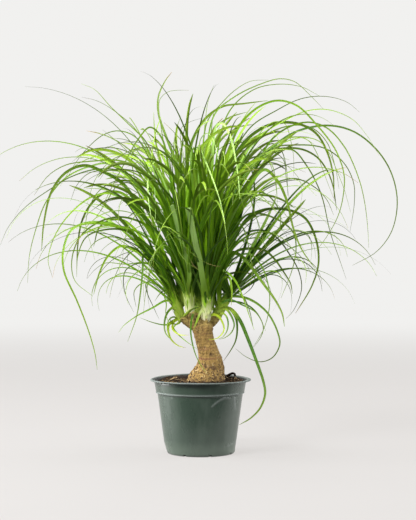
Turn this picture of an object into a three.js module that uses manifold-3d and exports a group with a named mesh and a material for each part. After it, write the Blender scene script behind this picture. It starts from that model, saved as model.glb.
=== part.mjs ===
// Ponytail palm in a round plastic nursery pot: a leaning corky trunk that branches at its top
// into five heads of long, arching, strap-like leaves. Millimetres, +Z up, front towards -Y.
// The origin is the centre of the pot's flat underside.
import * as THREE from 'three';
import { mergeVertices } from 'three/addons/utils/BufferGeometryUtils.js';
import Module from 'manifold-3d';

const wasm = await Module();
wasm.setup();
const { Manifold, Mesh: SolidMesh } = wasm;

// Driving dimensions
const clearance = 0.3;
const pot = {
  height: 122,
  rimRadius: 82.5,
  lipHeight: 3.4,
  bandTop: 74.7,
  bandBottom: 71.7,
  stepHeight: 101,
  stepDepth: 2.3,
  baseRadius: 56.4,
  cornerHeight: 5,
  wall: 1.5,
  floor: 2,
  sides: 40,
};
const drain = { count: 8, width: 7, height: 3.4, inner: 48, outer: 60, firstAngle: -28.5 };
const soil = { edge: 115.6, crown: 119.6, heapRadius: 70, heapRun: 36, rough: 1.3, chips: 13, sides: 24 };
const bark = { sides: 14, relief: 1.4, seed: 77 };
const roots = { count: 4, sides: 5 };

// Where the courses of the traced leaves are read from.
const view = { x: 11.7, distance: 2250, z: 318 };
const stations = 48;

// Where leaves spring from: heights up the head's core, and shares of its radius out.
const rooting = { heights: [9, 17], out: 0.6, low: 3, lowOut: 0.7, longRun: 55, sheath: 24, depthPart: 0.8 };

// A blade's outline and section: shares of its width and of its length.
const strap = {
  rootWidth: 0.45,
  rootRun: 0.14,
  tipWidth: 0.1,
  tipPower: 0.7,
  leastWidth: 0.9,
  keelShare: 0.2,
  leastKeel: 0.75,
  openRun: 0.25,
  roll: [0.5, 1.15],
  twist: 2.2,
  turnPerRing: 0.62,
  runPerRing: 190,
  leastRun: 0.3,
};

// How grown leaves arch, in radians, and how that changes from the inmost to the outmost.
const arch = {
  lean: 0.05,
  leanByRank: 0.42,
  leanSpread: 0.12,
  turn: [1.3, 2.5],
  turnByRank: 0.5,
  turnPower: 1.9,
  openRun: 0.125,
  shorterByRank: 0.25,
  swerve: 0.9,
  goldenShare: 0.618034,
  height: 10,
  heightByRank: 20,
};

// Fitting a leaf among the others: how many courses are tried, how far each strays from the
// first, the finest detail kept where leaves fuse, the least side and breadth of a face, and
// how many more faces a tangle may cost.
const fitting = {
  tries: 64,
  depth: 3,
  belly: 2.4,
  bearing: 0.03,
  lean: 0.012,
  finest: 0.02,
  rounding: 1e-3,
  shortest: 0.04,
  narrowest: 0.012,
  spentRoom: 0.07,
  crowding: 1.4,
  crowdingPerTry: 0.045,
};

// Trunk sections above and below the soil: height, centre x, radius across, radius front to back.
const trunkSections = [
  [76, 6, 17, 16],
  [84, 6, 29, 28],
  [96, 7, 35, 33],
  [108, 7.5, 34.5, 33],
  [118, 8, 32.6, 31.5],
  [125, 9, 30.4, 29.5],
  [132, 11, 28.2, 27],
  [140, 13.5, 24.4, 24],
  [150, 15.3, 20.6, 21.5],
  [160, 14.5, 18.6, 19.5],
  [170, 12, 17.1, 18],
  [180, 8.6, 16.5, 17],
  [190, 5.6, 15.6, 16.4],
  [200, 3.8, 15.8, 16],
  [207, 3.2, 16.4, 16.2],
  [213, 3.2, 14.2, 14],
  [217, 3.4, 8.5, 8.5],
];

// Heads: where each stands on the trunk, which way it points and its leaf bases' radius.
const heads = {
  left: { base: [-31, -4, 221], axis: [-0.36, -0.1, 0.93], radius: 7.4, seed: 1000 },
  middle: { base: [-17, -13, 230], axis: [-0.1, -0.16, 0.98], radius: 7, seed: 2000 },
  centre: { base: [8.6, -6, 219], axis: [0.04, -0.06, 1], radius: 7.8, seed: 3000 },
  right: { base: [24, 8, 221], axis: [0.45, 0.1, 0.88], radius: 7, seed: 4000 },
  back: { base: [-4, 17, 224], axis: [-0.06, 0.36, 0.93], radius: 7.4, seed: 5000 },
};

// Leaves whose course shows from the front, by head. Each is its width, the depth of its tip
// behind the trunk's axis, and its course as x, z pairs read in the plane of that axis.
const tracedLeaves = {
  left: [
    [6.5, -40, [-52, 285, -80, 332, -118, 364, -150, 378, -190, 379, -214, 367, -227, 335, -226, 300,
      -205, 252, -186, 203, -175, 165, -171, 137]],
    [7.5, 30, [-58, 290, -85, 334, -112, 372, -130, 384, -152, 383, -168, 371, -177, 340]],
    [5.5, -90, [-60, 310, -88, 372, -118, 387, -145, 388, -175, 377, -200, 355, -213, 318, -208, 284,
      -178, 258]],
    [7, 60, [-52, 280, -80, 314, -110, 334, -131, 341, -152, 326, -167, 298, -177, 261]],
    [6, -120, [-60, 300, -98, 350, -130, 368, -168, 366, -190, 355, -203, 325, -205, 290]],
    [7, 90, [-62, 320, -95, 390, -130, 428, -158, 429, -180, 412, -196, 383, -203, 345, -205, 300]],
    [6, 20, [-60, 310, -92, 375, -125, 415, -152, 428, -180, 422, -205, 405, -232, 374, -247, 343,
      -252, 316, -245, 290]],
    [8, -60, [-50, 285, -66, 325, -84, 372, -104, 408, -130, 445, -160, 463, -192, 474, -222, 463,
      -246, 432, -259, 380, -263, 333]],
    [4.5, -50, [-44, 246, -57, 251, -80, 239, -107, 225, -128, 209, -136, 198]],
    [4.5, 70, [-46, 256, -60, 270, -80, 280, -98, 279, -110, 266, -107, 240]],
    [4.5, -30, [-47, 257, -58, 268, -68, 262, -76, 250]],
    [4, -24, [-40, 225, -47, 214, -60, 211, -80, 215, -101, 223]],
    [5, -35, [-42, 242, -54, 233, -60, 216, -58, 197, -44, 182]],
    [5.5, -110, [-56, 290, -80, 322, -94, 326, -96, 300, -100, 262, -106, 225, -121, 183]],
    [3.5, 100, [-50, 262, -70, 285, -90, 280, -88, 262, -79, 242, -69, 220]],
    [4, 80, [-55, 285, -84, 310, -105, 312, -124, 301, -128, 283, -123, 257, -111, 232]],
    [4, -90, [-54, 280, -85, 302, -100, 301, -118, 285, -124, 265, -120, 245]],
    [3.5, 130, [-56, 290, -86, 313, -125, 311, -157, 313, -175, 302, -188, 287]],
    [3.5, -60, [-62, 330, -90, 400, -114, 428, -131, 416, -136, 385, -131, 362, -123, 350]],
    [5.5, -100, [-64, 340, -92, 410, -118, 445, -138, 440, -158, 410, -178, 381]],
    [4.5, -50, [-52, 270, -60, 262, -57, 245, -58, 230, -52, 210]],
  ],
  middle: [
    [5.5, 40, [-40, 330, -75, 400, -112, 452, -148, 477, -185, 472, -225, 452, -256, 413, -272, 370,
      -283, 325, -286, 280]],
    [4, 10, [-45, 340, -85, 420, -125, 462, -170, 468, -215, 455, -250, 434, -290, 405, -318, 372,
      -331, 343]],
    [8, 60, [-22, 300, -28, 400, -38, 470, -55, 515, -70, 560, -70, 588, -58, 615, -48, 628]],
    [7, -40, [-30, 320, -50, 400, -66, 480, -74, 510, -77, 540, -78, 562]],
    [4, 90, [-30, 330, -50, 450, -66, 540, -68, 582, -55, 595, -40, 598, -20, 598]],
    [5.5, 50, [-32, 330, -60, 440, -90, 512, -118, 541, -150, 572, -175, 599, -198, 609]],
    [4, -70, [-35, 330, -65, 450, -105, 530, -140, 562, -170, 580, -197, 587]],
    [4.5, 110, [-35, 340, -70, 460, -107, 520, -135, 531, -160, 525, -185, 505, -207, 478, -221, 452]],
    [4.5, -120, [-36, 340, -66, 430, -95, 478, -130, 500, -165, 503, -190, 497, -212, 480]],
    [5, 140, [-36, 330, -68, 430, -105, 481, -145, 493, -180, 487, -212, 470, -232, 440]],
    [5.5, -20, [-36, 330, -66, 420, -95, 465, -135, 482, -180, 481, -222, 475, -252, 457, -275, 425]],
    [5.5, -100, [-32, 340, -50, 450, -65, 520, -84, 537, -105, 515, -128, 474, -148, 436, -168, 395]],
    [5, 100, [-38, 340, -72, 420, -110, 456, -150, 466, -185, 461, -205, 441, -215, 415]],
    [3.5, -140, [-38, 340, -80, 430, -130, 450, -170, 430, -190, 380, -182, 345, -175, 318]],
    [3, -120, [-40, 310, -62, 362, -74, 382, -62, 376, -42, 357, -20, 334, 0, 318, 16, 311, 33, 307]],
    [3, -110, [-38, 310, -52, 350, -56, 366, -45, 350, -34, 328, -20, 312, 0, 300]],
    [6, -60, [-44, 300, -66, 340, -77, 372, -84, 410, -87, 445, -80, 475, -66, 492]],
    [6, 20, [-20, 320, -36, 420, -45, 500, -40, 535, -33, 556]],
    [5, -46, [-13, 244, -11, 239, -15, 222, -17, 203, -14, 180, -8, 160, 2, 141, 13, 128]],
  ],
  centre: [
    [6, 70, [0, 330, -14, 420, -22, 480, -12, 520, 8, 552, 35, 571, 70, 576, 110, 581]],
    [5, 100, [4, 330, 2, 450, 10, 545, 30, 572, 56, 598, 82, 613, 112, 615]],
    [5, 40, [8, 330, 8, 460, 22, 557, 55, 587, 95, 607, 130, 617, 155, 612, 180, 590, 203, 566]],
    [4.5, -60, [12, 340, 22, 460, 45, 560, 85, 598, 125, 608, 165, 604, 197, 588]],
    [7.5, -70, [14, 330, 35, 450, 60, 533, 90, 567, 125, 581, 158, 573, 192, 540, 222, 500, 236, 460,
      235, 425, 226, 390, 208, 357, 190, 333]],
    [7, -190, [2, 330, -12, 430, -14, 500, -4, 503, 8, 480, 20, 450, 31, 418, 40, 378]],
    [5, -120, [4, 340, -4, 460, 0, 518, 10, 527, 19, 519, 27, 494, 32, 470]],
    [6.5, -150, [10, 340, 18, 460, 26, 540, 36, 543, 48, 523, 57, 485, 62, 450, 64, 418]],
    [5.5, -160, [8, 330, 12, 420, 22, 474, 34, 476, 48, 456, 62, 432, 72, 400]],
    [4, 30, [6, 340, 2, 460, 8, 555, 12, 580, 21, 606]],
    [4, 60, [-2, 340, -18, 440, -32, 500, -32, 536, -18, 546, 6, 553]],
    [8.5, -40, [5, 280, 2, 340, 2, 400, 4, 460, 10, 505, 24, 540]],
    [8, -60, [9, 290, 8, 340, 11, 395, 20, 440, 32, 478, 50, 500]],
    [5.5, -40, [14, 300, 30, 380, 55, 460, 95, 520, 140, 549, 175, 564, 210, 566, 250, 550, 277, 519,
      294, 490]],
    [4.5, 80, [14, 330, 36, 450, 80, 535, 125, 565, 165, 584, 205, 588, 240, 579, 262, 562]],
    [7.5, 60, [10, 330, 28, 442, 55, 490, 85, 525, 120, 543, 160, 543, 190, 527, 208, 497, 218, 460,
      220, 415]],
    [5, 100, [14, 330, 46, 460, 100, 520, 150, 540, 183, 536, 208, 512, 222, 470, 228, 435]],
    [4.5, -140, [16, 330, 40, 410, 62, 443, 76, 434, 87, 400, 97, 372, 104, 342]],
    [4.5, -130, [16, 340, 56, 440, 95, 485, 115, 478, 124, 445, 126, 408]],
    [6, -26, [6, 238, 0, 233, -7, 217, -14, 199]],
    [8, -50, [3, 285, -4, 320, -12, 360, -22, 404], { blunt: true }],
    [4, -66, [-8, 290, -27, 327, -37, 362, -48, 408], { blunt: true }],
  ],
  right: [
    [6, 30, [34, 300, 62, 380, 80, 440, 100, 485, 125, 510, 160, 531, 210, 540, 252, 530, 290, 500,
      314, 462, 324, 415, 315, 366, 290, 332, 250, 309]],
    [5, -80, [34, 310, 74, 430, 120, 520, 170, 545, 206, 537, 236, 506, 258, 460, 269, 420, 275, 375,
      277, 338]],
    [8, -90, [32, 300, 52, 365, 80, 440, 105, 467, 126, 449, 142, 415, 152, 372, 166, 336, 189, 303]],
    [6.5, -30, [32, 290, 52, 345, 78, 388, 105, 401, 143, 401, 172, 387, 190, 352, 194, 312, 183, 275,
      156, 230]],
    [6, 60, [30, 300, 42, 370, 66, 410, 98, 433, 130, 448, 158, 452, 188, 438, 208, 417, 219, 392]],
    [5, -110, [30, 310, 46, 380, 70, 422, 98, 430, 117, 419, 131, 393, 128, 365, 108, 340, 86, 324]],
    [4, 120, [30, 310, 48, 375, 78, 413, 105, 416, 130, 406, 147, 381]],
    [5.5, -60, [32, 300, 50, 358, 75, 392, 100, 394, 135, 380, 153, 362, 157, 335, 150, 300, 132, 255]],
    [4.5, 130, [32, 340, 65, 455, 110, 497, 135, 485, 141, 450, 146, 415]],
    [5, -90, [32, 300, 44, 355, 57, 381, 70, 370, 80, 332, 85, 300, 79, 269]],
    [5, 70, [32, 280, 48, 330, 72, 361, 102, 367, 124, 356, 146, 328, 162, 298, 166, 270, 153, 235,
      140, 221]],
    [5, 100, [32, 285, 46, 330, 60, 350, 82, 344, 105, 334, 125, 316, 142, 290]],
    [6.5, -20, [32, 275, 45, 316, 60, 333, 82, 337, 105, 334, 122, 319, 138, 296, 148, 279, 151, 262]],
    [8, -70, [30, 270, 38, 312, 50, 330, 66, 325, 85, 304, 103, 279, 122, 253, 134, 230, 138, 208]],
    [6, -100, [28, 270, 32, 302, 44, 297, 57, 283, 68, 260, 78, 232, 88, 202]],
    [5, 60, [30, 262, 38, 287, 55, 297, 76, 297, 89, 288, 84, 273, 66, 257]],
    [6.5, -56, [29, 258, 36, 287, 46, 289, 51, 268, 50, 243]],
    [7, -60, [33, 240, 48, 238, 64, 219, 78, 187, 92, 150, 103, 118, 106, 97, 98, 74, 82, 57, 63, 46]],
    [5.5, 40, [30, 246, 45, 257, 68, 257, 90, 248, 112, 228, 127, 198, 130, 178, 118, 157, 98, 150,
      75, 158, 57, 172]],
    [4.5, -80, [31, 244, 48, 252, 70, 243, 90, 232, 102, 213, 107, 200]],
    [4.5, -110, [30, 275, 52, 318, 80, 328, 100, 308, 112, 272, 113, 240, 104, 205, 86, 174]],
    [4, 80, [28, 250, 36, 262, 52, 265, 68, 259, 79, 238, 87, 204]],
    [5, -30, [30, 238, 41, 237, 50, 226, 55, 210, 50, 198, 40, 190, 30, 187]],
    [5.5, 24, [32, 236, 46, 238, 57, 224, 60, 204, 57, 184, 48, 167, 37, 151]],
  ],
  back: [
    [5, 120, [20, 330, 60, 450, 110, 500, 160, 508, 205, 502, 236, 478, 252, 445, 253, 410, 246, 365]],
    [6.5, 90, [20, 330, 58, 445, 110, 495, 160, 502, 190, 489, 208, 466, 218, 440, 224, 400]],
    [5, 140, [18, 330, 55, 440, 110, 490, 150, 500, 175, 473, 193, 440, 202, 415, 213, 365, 229, 318,
      240, 286]],
    [4.5, 130, [-24, 340, -60, 440, -100, 490, -140, 487, -172, 455, -188, 410]],
    [4.5, 150, [14, 330, 44, 430, 90, 470, 125, 482, 160, 455, 167, 428, 162, 402]],
  ],
};

// Leaves of the inner and far sides of each head, grown by rule: how many, their arc of bearings
// about the head in degrees from +X, and their lengths.
const grownLeaves = {
  left: { count: 16, bearing: [105, 290], length: [260, 430], width: [4.5, 7.5] },
  middle: { count: 24, bearing: [170, 320], length: [330, 520], width: [5, 8] },
  centre: { count: 25, bearing: [-130, -25], length: [360, 540], width: [5.5, 8.5] },
  right: { count: 20, bearing: [-75, 100], length: [280, 450], width: [4.5, 8] },
  back: { count: 35, bearing: [25, 160], length: [320, 490], width: [5, 8] },
};

// Spent leaves, yellow, hanging from the lowest bases: traced as the others, with low roots.
const low = { low: true };
const spentLeaves = {
  spent_leaf_right: {
    head: 'centre',
    leaf: [3.6, -34, [20, 228, 28, 226, 36, 214, 38, 202, 27, 189, 11, 187], low],
  },
  spent_leaf_left: {
    head: 'left',
    leaf: [4.4, -30, [-42, 219, -52, 213, -54, 202, -49, 187, -38, 177, -25, 173], low],
  },
  spent_leaf_front: {
    head: 'left',
    leaf: [3.4, -48, [-44, 216, -47, 205, -36, 195, -20, 194], low],
  },
};
const spentSeed = 6000;

// Seeded draws from 0 to 1, so that every leaf comes out alike each time.
function drawing(seed) {
  let state = seed | 0;
  return () => {
    state = (state + 0x6d2b79f5) | 0;
    let mix = Math.imul(state ^ (state >>> 15), 1 | state);
    mix = (mix + Math.imul(mix ^ (mix >>> 7), 61 | mix)) ^ mix;
    return ((mix ^ (mix >>> 14)) >>> 0) / 4294967296;
  };
}

const between = ([low, high], draw) => low + (high - low) * draw();
const vector = (values) => new THREE.Vector3(...values);

// Solids

// A closed skin over rings of equal count, each wound the same way about the direction of travel.
// It ends flat, or in a point where the last ring is a single point. Each four-sided stretch is
// split along its outer diagonal, so that a twisted skin never folds in through itself.
function loft(rings) {
  const count = rings[0].length;
  const pointed = rings[rings.length - 1].length === 1;
  const last = (rings.length - (pointed ? 2 : 1)) * count;
  const points = rings.flat();
  const faces = [];
  for (let start = 0; start < last; start += count) {
    for (let i = 0; i < count; i++) {
      const [a, b] = [start + i, start + ((i + 1) % count)];
      const [c, d] = [b + count, a + count];
      const [ab, ac, ad] = [b, c, d].map((k) => points[k].clone().sub(points[a]));
      if (ab.cross(ac).dot(ad) > 0) {
        faces.push(a, b, d, b, c, d);
      } else {
        faces.push(a, b, c, a, c, d);
      }
    }
  }
  for (let i = 2; i < count; i++) {
    faces.push(0, i, i - 1);
    if (!pointed) {
      faces.push(last, last + i - 1, last + i);
    }
  }
  for (let i = 0; pointed && i < count; i++) {
    faces.push(last + i, last + ((i + 1) % count), last + count);
  }
  const positions = points.flatMap((point) => point.toArray());
  return new Manifold(new SolidMesh({
    numProp: 3,
    vertProperties: new Float32Array(positions),
    triVerts: new Uint32Array(faces),
  }));
}

function solidOf(geometry, matrix = new THREE.Matrix4()) {
  const bare = geometry.clone().applyMatrix4(matrix);
  bare.deleteAttribute('normal');
  bare.deleteAttribute('uv');
  const merged = mergeVertices(bare, 1e-4);
  return new Manifold(new SolidMesh({
    numProp: 3,
    vertProperties: new Float32Array(merged.attributes.position.array),
    triVerts: new Uint32Array(merged.index.array),
  }));
}

function geometryOf(solid) {
  const mesh = solid.getMesh();
  const geometry = new THREE.BufferGeometry();
  geometry.setAttribute('position', new THREE.BufferAttribute(Float32Array.from(mesh.vertProperties), 3));
  geometry.setIndex(new THREE.BufferAttribute(Uint32Array.from(mesh.triVerts), 1));
  return geometry;
}

// One node: the largest body of a solid, without sealed hollows or loose scraps.
function node(name, solid, look) {
  const bodies = solid.decompose().sort((a, b) => b.volume() - a.volume());
  const geometry = geometryOf(bodies[0]);
  geometry.computeVertexNormals();
  const made = new THREE.Mesh(geometry, new THREE.MeshStandardMaterial(look));
  made.name = name;
  return made;
}

function circle(centre, axis, radius, count) {
  const turn = new THREE.Quaternion().setFromUnitVectors(new THREE.Vector3(0, 0, 1), axis);
  return Array.from({ length: count }, (_, i) => {
    const angle = (2 * Math.PI * i) / count;
    const arm = new THREE.Vector3(Math.cos(angle) * radius, Math.sin(angle) * radius, 0);
    return arm.applyQuaternion(turn).add(centre);
  });
}

// A round tapering piece through hand-set points, each with its radius.
function taper(points, radii, count) {
  const curve = new THREE.CatmullRomCurve3(points);
  return loft(points.map((_, i) => {
    const at = i / (points.length - 1);
    return circle(curve.getPoint(at), curve.getTangent(at), radii[i], count);
  }));
}

// Pot

function makePot() {
  const { height, wall, floor, baseRadius, cornerHeight, stepHeight, stepDepth } = pot;
  const wallTop = pot.bandBottom - stepDepth;
  const lipBottom = height - pot.lipHeight;
  const outside = [
    [0, 0],
    [baseRadius - 4.2, 0],
    [baseRadius - 1.3, 1.3],
    [baseRadius, cornerHeight],
    [wallTop, stepHeight],
    [pot.bandBottom, stepHeight + 1],
    [pot.bandTop, lipBottom],
    [pot.rimRadius - 0.8, lipBottom + 0.9],
    [pot.rimRadius, height - 1.2],
    [pot.rimRadius - 0.7, height],
    [pot.bandTop + 2.4, height],
    [pot.bandTop - wall + 0.6, height - 1.6],
  ];
  const inside = [
    [pot.bandTop - wall, lipBottom - 0.6],
    [pot.bandBottom - wall, stepHeight + 2.2],
    [wallTop - wall, stepHeight + 0.6],
    [baseRadius - wall, cornerHeight + 1],
    [baseRadius - wall - 2.4, floor],
    [0, floor],
  ];
  const profile = [...outside, ...inside].map(([x, y]) => new THREE.Vector2(x, y));
  const upright = new THREE.Matrix4().makeRotationX(Math.PI / 2);
  let shell = solidOf(new THREE.LatheGeometry(profile, pot.sides), upright);
  const slot = new THREE.BoxGeometry(drain.width, drain.outer - drain.inner, 2 * drain.height);
  slot.translate(0, -(drain.inner + drain.outer) / 2, 0);
  for (let i = 0; i < drain.count; i++) {
    const angle = THREE.MathUtils.degToRad(drain.firstAngle + (i * 360) / drain.count);
    shell = shell.subtract(solidOf(slot, new THREE.Matrix4().makeRotationZ(angle)));
  }
  return shell;
}

// Trunk, with its branch stubs and the short roots under the soil. The hole that it stands in
// is the same form, grown by the clearance and without the bark's relief.

function trunkForm(extra, relief) {
  const draw = drawing(bark.seed);
  const rings = trunkSections.map(([z, x, across, deep]) => {
    const rough = z > soil.crown ? relief : 0;
    return Array.from({ length: bark.sides }, (_, i) => {
      const angle = (2 * Math.PI * i) / bark.sides;
      const rise = extra + rough * (draw() - 0.5);
      const lower = z === trunkSections[0][0] ? extra : 0;
      return new THREE.Vector3(
        x + Math.cos(angle) * (across + rise),
        Math.sin(angle) * (deep + rise),
        z - lower,
      );
    });
  });
  return loft(rings);
}

function makeRoots(extra) {
  return Array.from({ length: roots.count }, (_, i) => {
    const angle = (2 * Math.PI * i) / roots.count + 0.5;
    const out = new THREE.Vector3(Math.cos(angle), Math.sin(angle), 0);
    const points = [
      new THREE.Vector3(7, 0, 88).addScaledVector(out, 14),
      new THREE.Vector3(7, 0, 74).addScaledVector(out, 28),
      new THREE.Vector3(7, 0, 58).addScaledVector(out, 36 + extra),
    ];
    return taper(points, [8 + extra, 5.5 + extra, 2.4 + extra], roots.sides);
  });
}

function makeStubs() {
  const top = new THREE.Vector3(3.4, 0, 203);
  return Object.values(heads).map(({ base, axis, radius }) => {
    const seat = vector(base).addScaledVector(vector(axis).normalize(), 3);
    const knee = top.clone().lerp(seat, 0.55).add(new THREE.Vector3(0, 0, -3));
    return taper([top, knee, seat], [10, radius + 1.4, radius + 0.6], 7);
  });
}

// Leaf bases at the heart of a head, which its leaves spring from.
function makeCore(head, extra) {
  const axis = vector(head.axis).normalize();
  const shape = [[0, 0.86], [8, 1], [28, 1.1], [50, 0.9], [72, 0.35]];
  const rings = shape.map(([along, share], i) => {
    const reach = along + (i === 0 ? -extra : extra);
    const centre = vector(head.base).addScaledVector(axis, reach);
    return circle(centre, axis, head.radius * share + extra, 7);
  });
  return loft(rings);
}

// Soil: fills the pot to just below its rim, heaped a little round the trunk, with bark chips.

function soilHeight(radius) {
  const heap = THREE.MathUtils.smoothstep(soil.heapRadius - radius, 0, soil.heapRun);
  return THREE.MathUtils.lerp(soil.edge, soil.crown, heap);
}

function makeSoil() {
  const draw = drawing(31);
  const gap = clearance + 0.1;
  const wallTop = pot.bandBottom - pot.stepDepth;
  const inner = [
    [pot.baseRadius - pot.wall - 2.8, pot.floor + gap],
    [pot.baseRadius - pot.wall - gap, pot.cornerHeight + 1.4],
    [wallTop - pot.wall - gap, pot.stepHeight + 0.6],
    [pot.bandBottom - pot.wall - gap, pot.stepHeight + 2.4],
    [pot.bandTop - pot.wall - 2 * gap, soil.edge],
  ];
  const ring = (radius, z, rough) => Array.from({ length: soil.sides }, (_, i) => {
    const angle = (2 * Math.PI * i) / soil.sides;
    const lift = z + rough * (draw() - 0.5) * 2;
    return new THREE.Vector3(Math.cos(angle) * radius, Math.sin(angle) * radius, lift);
  });
  const top = [69, 59, 49, 38, 12].map((radius) => ring(radius, soilHeight(radius), soil.rough));
  const bed = loft([...inner.map(([radius, z]) => ring(radius, z, 0)), ...top]);
  const chips = Array.from({ length: soil.chips }, () => {
    const angle = 2 * Math.PI * draw();
    const radius = between([40, 68], draw);
    const long = between([5, 13], draw);
    const chip = new THREE.CylinderGeometry(between([2.4, 4], draw), between([1.6, 3], draw), long, 3);
    const place = new THREE.Matrix4().makeTranslation(
      Math.cos(angle) * radius,
      Math.sin(angle) * radius,
      soilHeight(radius) + 0.3,
    );
    const tilt = new THREE.Euler(between([-0.3, 0.3], draw), 6 * draw(), 6 * draw(), 'ZXY');
    return solidOf(chip, place.multiply(new THREE.Matrix4().makeRotationFromEuler(tilt)));
  });
  const splinter = taper(
    [[30, 34, 114], [44, 32, 124], [53, 31, 128.5], [56.5, 31, 127], [57, 31, 123.5]].map(vector),
    [3.2, 2.6, 1.8, 1.4, 0.8],
    5,
  );
  const reach = pot.bandTop - 3;
  const withinPot = solidOf(
    new THREE.CylinderGeometry(reach, reach, pot.height, soil.sides),
    new THREE.Matrix4().makeRotationX(Math.PI / 2).setPosition(0, 0, pot.height / 2 + 10),
  );
  const loose = Manifold.union([...chips, splinter]).intersect(withinPot);
  const hole = Manifold.union([trunkForm(clearance, 0), ...makeRoots(clearance)]);
  return bed.add(loose).subtract(hole);
}

// Leaf rule

// Spread of one leaf's roll and twist, the same whatever its course.
function leafManner(draw) {
  const side = draw() < 0.5 ? -1 : 1;
  return { roll: side * between(strap.roll, draw), twist: (draw() - 0.5) * strap.twist };
}

// A leaf that shows from the front: its course, set back along each line of sight.
function tracedLeaf(head, [width, depth, course, { blunt, low: lowest } = {}], seed, attempt) {
  const draw = drawing(seed);
  const manner = leafManner(draw);
  const stray = drawing(seed + 500 * attempt);
  const tipDepth = depth + attempt * fitting.depth * (stray() - 0.5);
  const belly = attempt * fitting.belly * (stray() - 0.5);
  const base = vector(head.base);
  const axis = vector(head.axis).normalize();
  const flat = [];
  for (let i = 0; i < course.length; i += 2) {
    flat.push(new THREE.Vector2(course[i], course[i + 1]));
  }
  const farthest = flat[Math.ceil(flat.length * 0.6)].x;
  const out = new THREE.Vector3(farthest - base.x, depth * rooting.depthPart, 0).normalize();
  const height = lowest ? rooting.low : between(rooting.heights, draw);
  const inset = head.radius * (lowest ? rooting.lowOut : rooting.out);
  const points = [base.clone().addScaledVector(axis, height).addScaledVector(out, inset)];
  if (flat[0].y - base.z > rooting.longRun) {
    const sheath = base.clone().addScaledVector(axis, height + rooting.sheath);
    points.push(sheath.addScaledVector(out, head.radius));
  }
  const start = new THREE.Vector2(base.x, base.z);
  const runs = flat.map((point, i) => point.distanceTo(i ? flat[i - 1] : start));
  const total = runs.reduce((sum, run) => sum + run, 0);
  let gone = 0;
  flat.forEach((point, i) => {
    gone += runs[i];
    const along = gone / total;
    const y = THREE.MathUtils.lerp(base.y, tipDepth, Math.pow(along, 1.1))
      + belly * Math.sin(Math.PI * Math.sqrt(along));
    const scale = (view.distance + y) / view.distance;
    points.push(new THREE.Vector3(
      view.x + (point.x - view.x) * scale,
      y,
      view.z + (point.y - view.z) * scale,
    ));
  });
  const curve = new THREE.CatmullRomCurve3(points, false, 'centripetal');
  return { points: curve.getSpacedPoints(stations), width, out, blunt: Boolean(blunt), ...manner };
}

// A leaf that rises from its head, arches over and hangs, turning faster towards its tip.
function grownLeaf(head, rule, index, attempt) {
  const seed = head.seed + 100 + index;
  const draw = drawing(seed);
  const manner = leafManner(draw);
  const stray = drawing(seed + 500 * attempt);
  const rank = (index + 0.5) / rule.count;
  const share = (index * arch.goldenShare) % 1;
  const bearing = THREE.MathUtils.degToRad(THREE.MathUtils.lerp(...rule.bearing, share))
    + attempt * fitting.bearing * (stray() - 0.5);
  const lean = arch.lean + arch.leanByRank * rank + arch.leanSpread * draw()
    + attempt * fitting.lean * (stray() - 0.5);
  const turn = between(arch.turn, draw) + arch.turnByRank * rank;
  const length = between(rule.length, draw) * (1 - arch.shorterByRank * rank);
  const width = between(rule.width, draw);
  const swerve = (draw() - 0.5) * arch.swerve;
  const axis = vector(head.axis).normalize();
  const out = new THREE.Vector3(Math.cos(bearing), Math.sin(bearing), 0);
  const hinge = new THREE.Vector3().crossVectors(axis, out).normalize();
  const step = length / stations;
  const point = vector(head.base).addScaledVector(axis, arch.height + arch.heightByRank * (1 - rank));
  point.addScaledVector(out, head.radius * (0.25 + 0.5 * rank));
  const points = [];
  for (let i = 0; i <= stations; i++) {
    const along = i / stations;
    points.push(point.clone());
    const bend = lean * Math.min(1, along / arch.openRun) + turn * Math.pow(along, arch.turnPower);
    const heading = axis.clone().applyAxisAngle(hinge, bend);
    heading.applyAxisAngle(new THREE.Vector3(0, 0, 1), swerve * along * along);
    point.addScaledVector(heading, step);
  }
  return { points, width, out, blunt: false, ...manner };
}

function widthAlong(along, blunt) {
  const root = THREE.MathUtils.lerp(strap.rootWidth, 1, Math.min(1, along / strap.rootRun));
  const tip = THREE.MathUtils.lerp(strap.tipWidth, 1, Math.pow(1 - along, strap.tipPower));
  return blunt ? root : root * tip;
}

// Where a leaf's rings stand: closer together where it turns, further apart where it runs straight.
function ringStations(points) {
  const step = points[0].distanceTo(points[1]);
  const reach = [0];
  for (let i = 1; i < points.length - 1; i++) {
    const before = points[i].clone().sub(points[i - 1]);
    const after = points[i + 1].clone().sub(points[i]);
    reach.push(reach[i - 1] + before.angleTo(after) / strap.turnPerRing + step / strap.runPerRing);
  }
  reach.push(reach[reach.length - 1] + step / strap.runPerRing);
  const total = reach[reach.length - 1];
  const rings = Math.max(4, Math.ceil(total));
  return Array.from({ length: rings + 1 }, (_, i) => {
    const wanted = (total * i) / rings;
    const found = reach.findIndex((value) => value >= wanted - 1e-9);
    return found < 0 ? points.length - 1 : found;
  });
}

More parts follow.
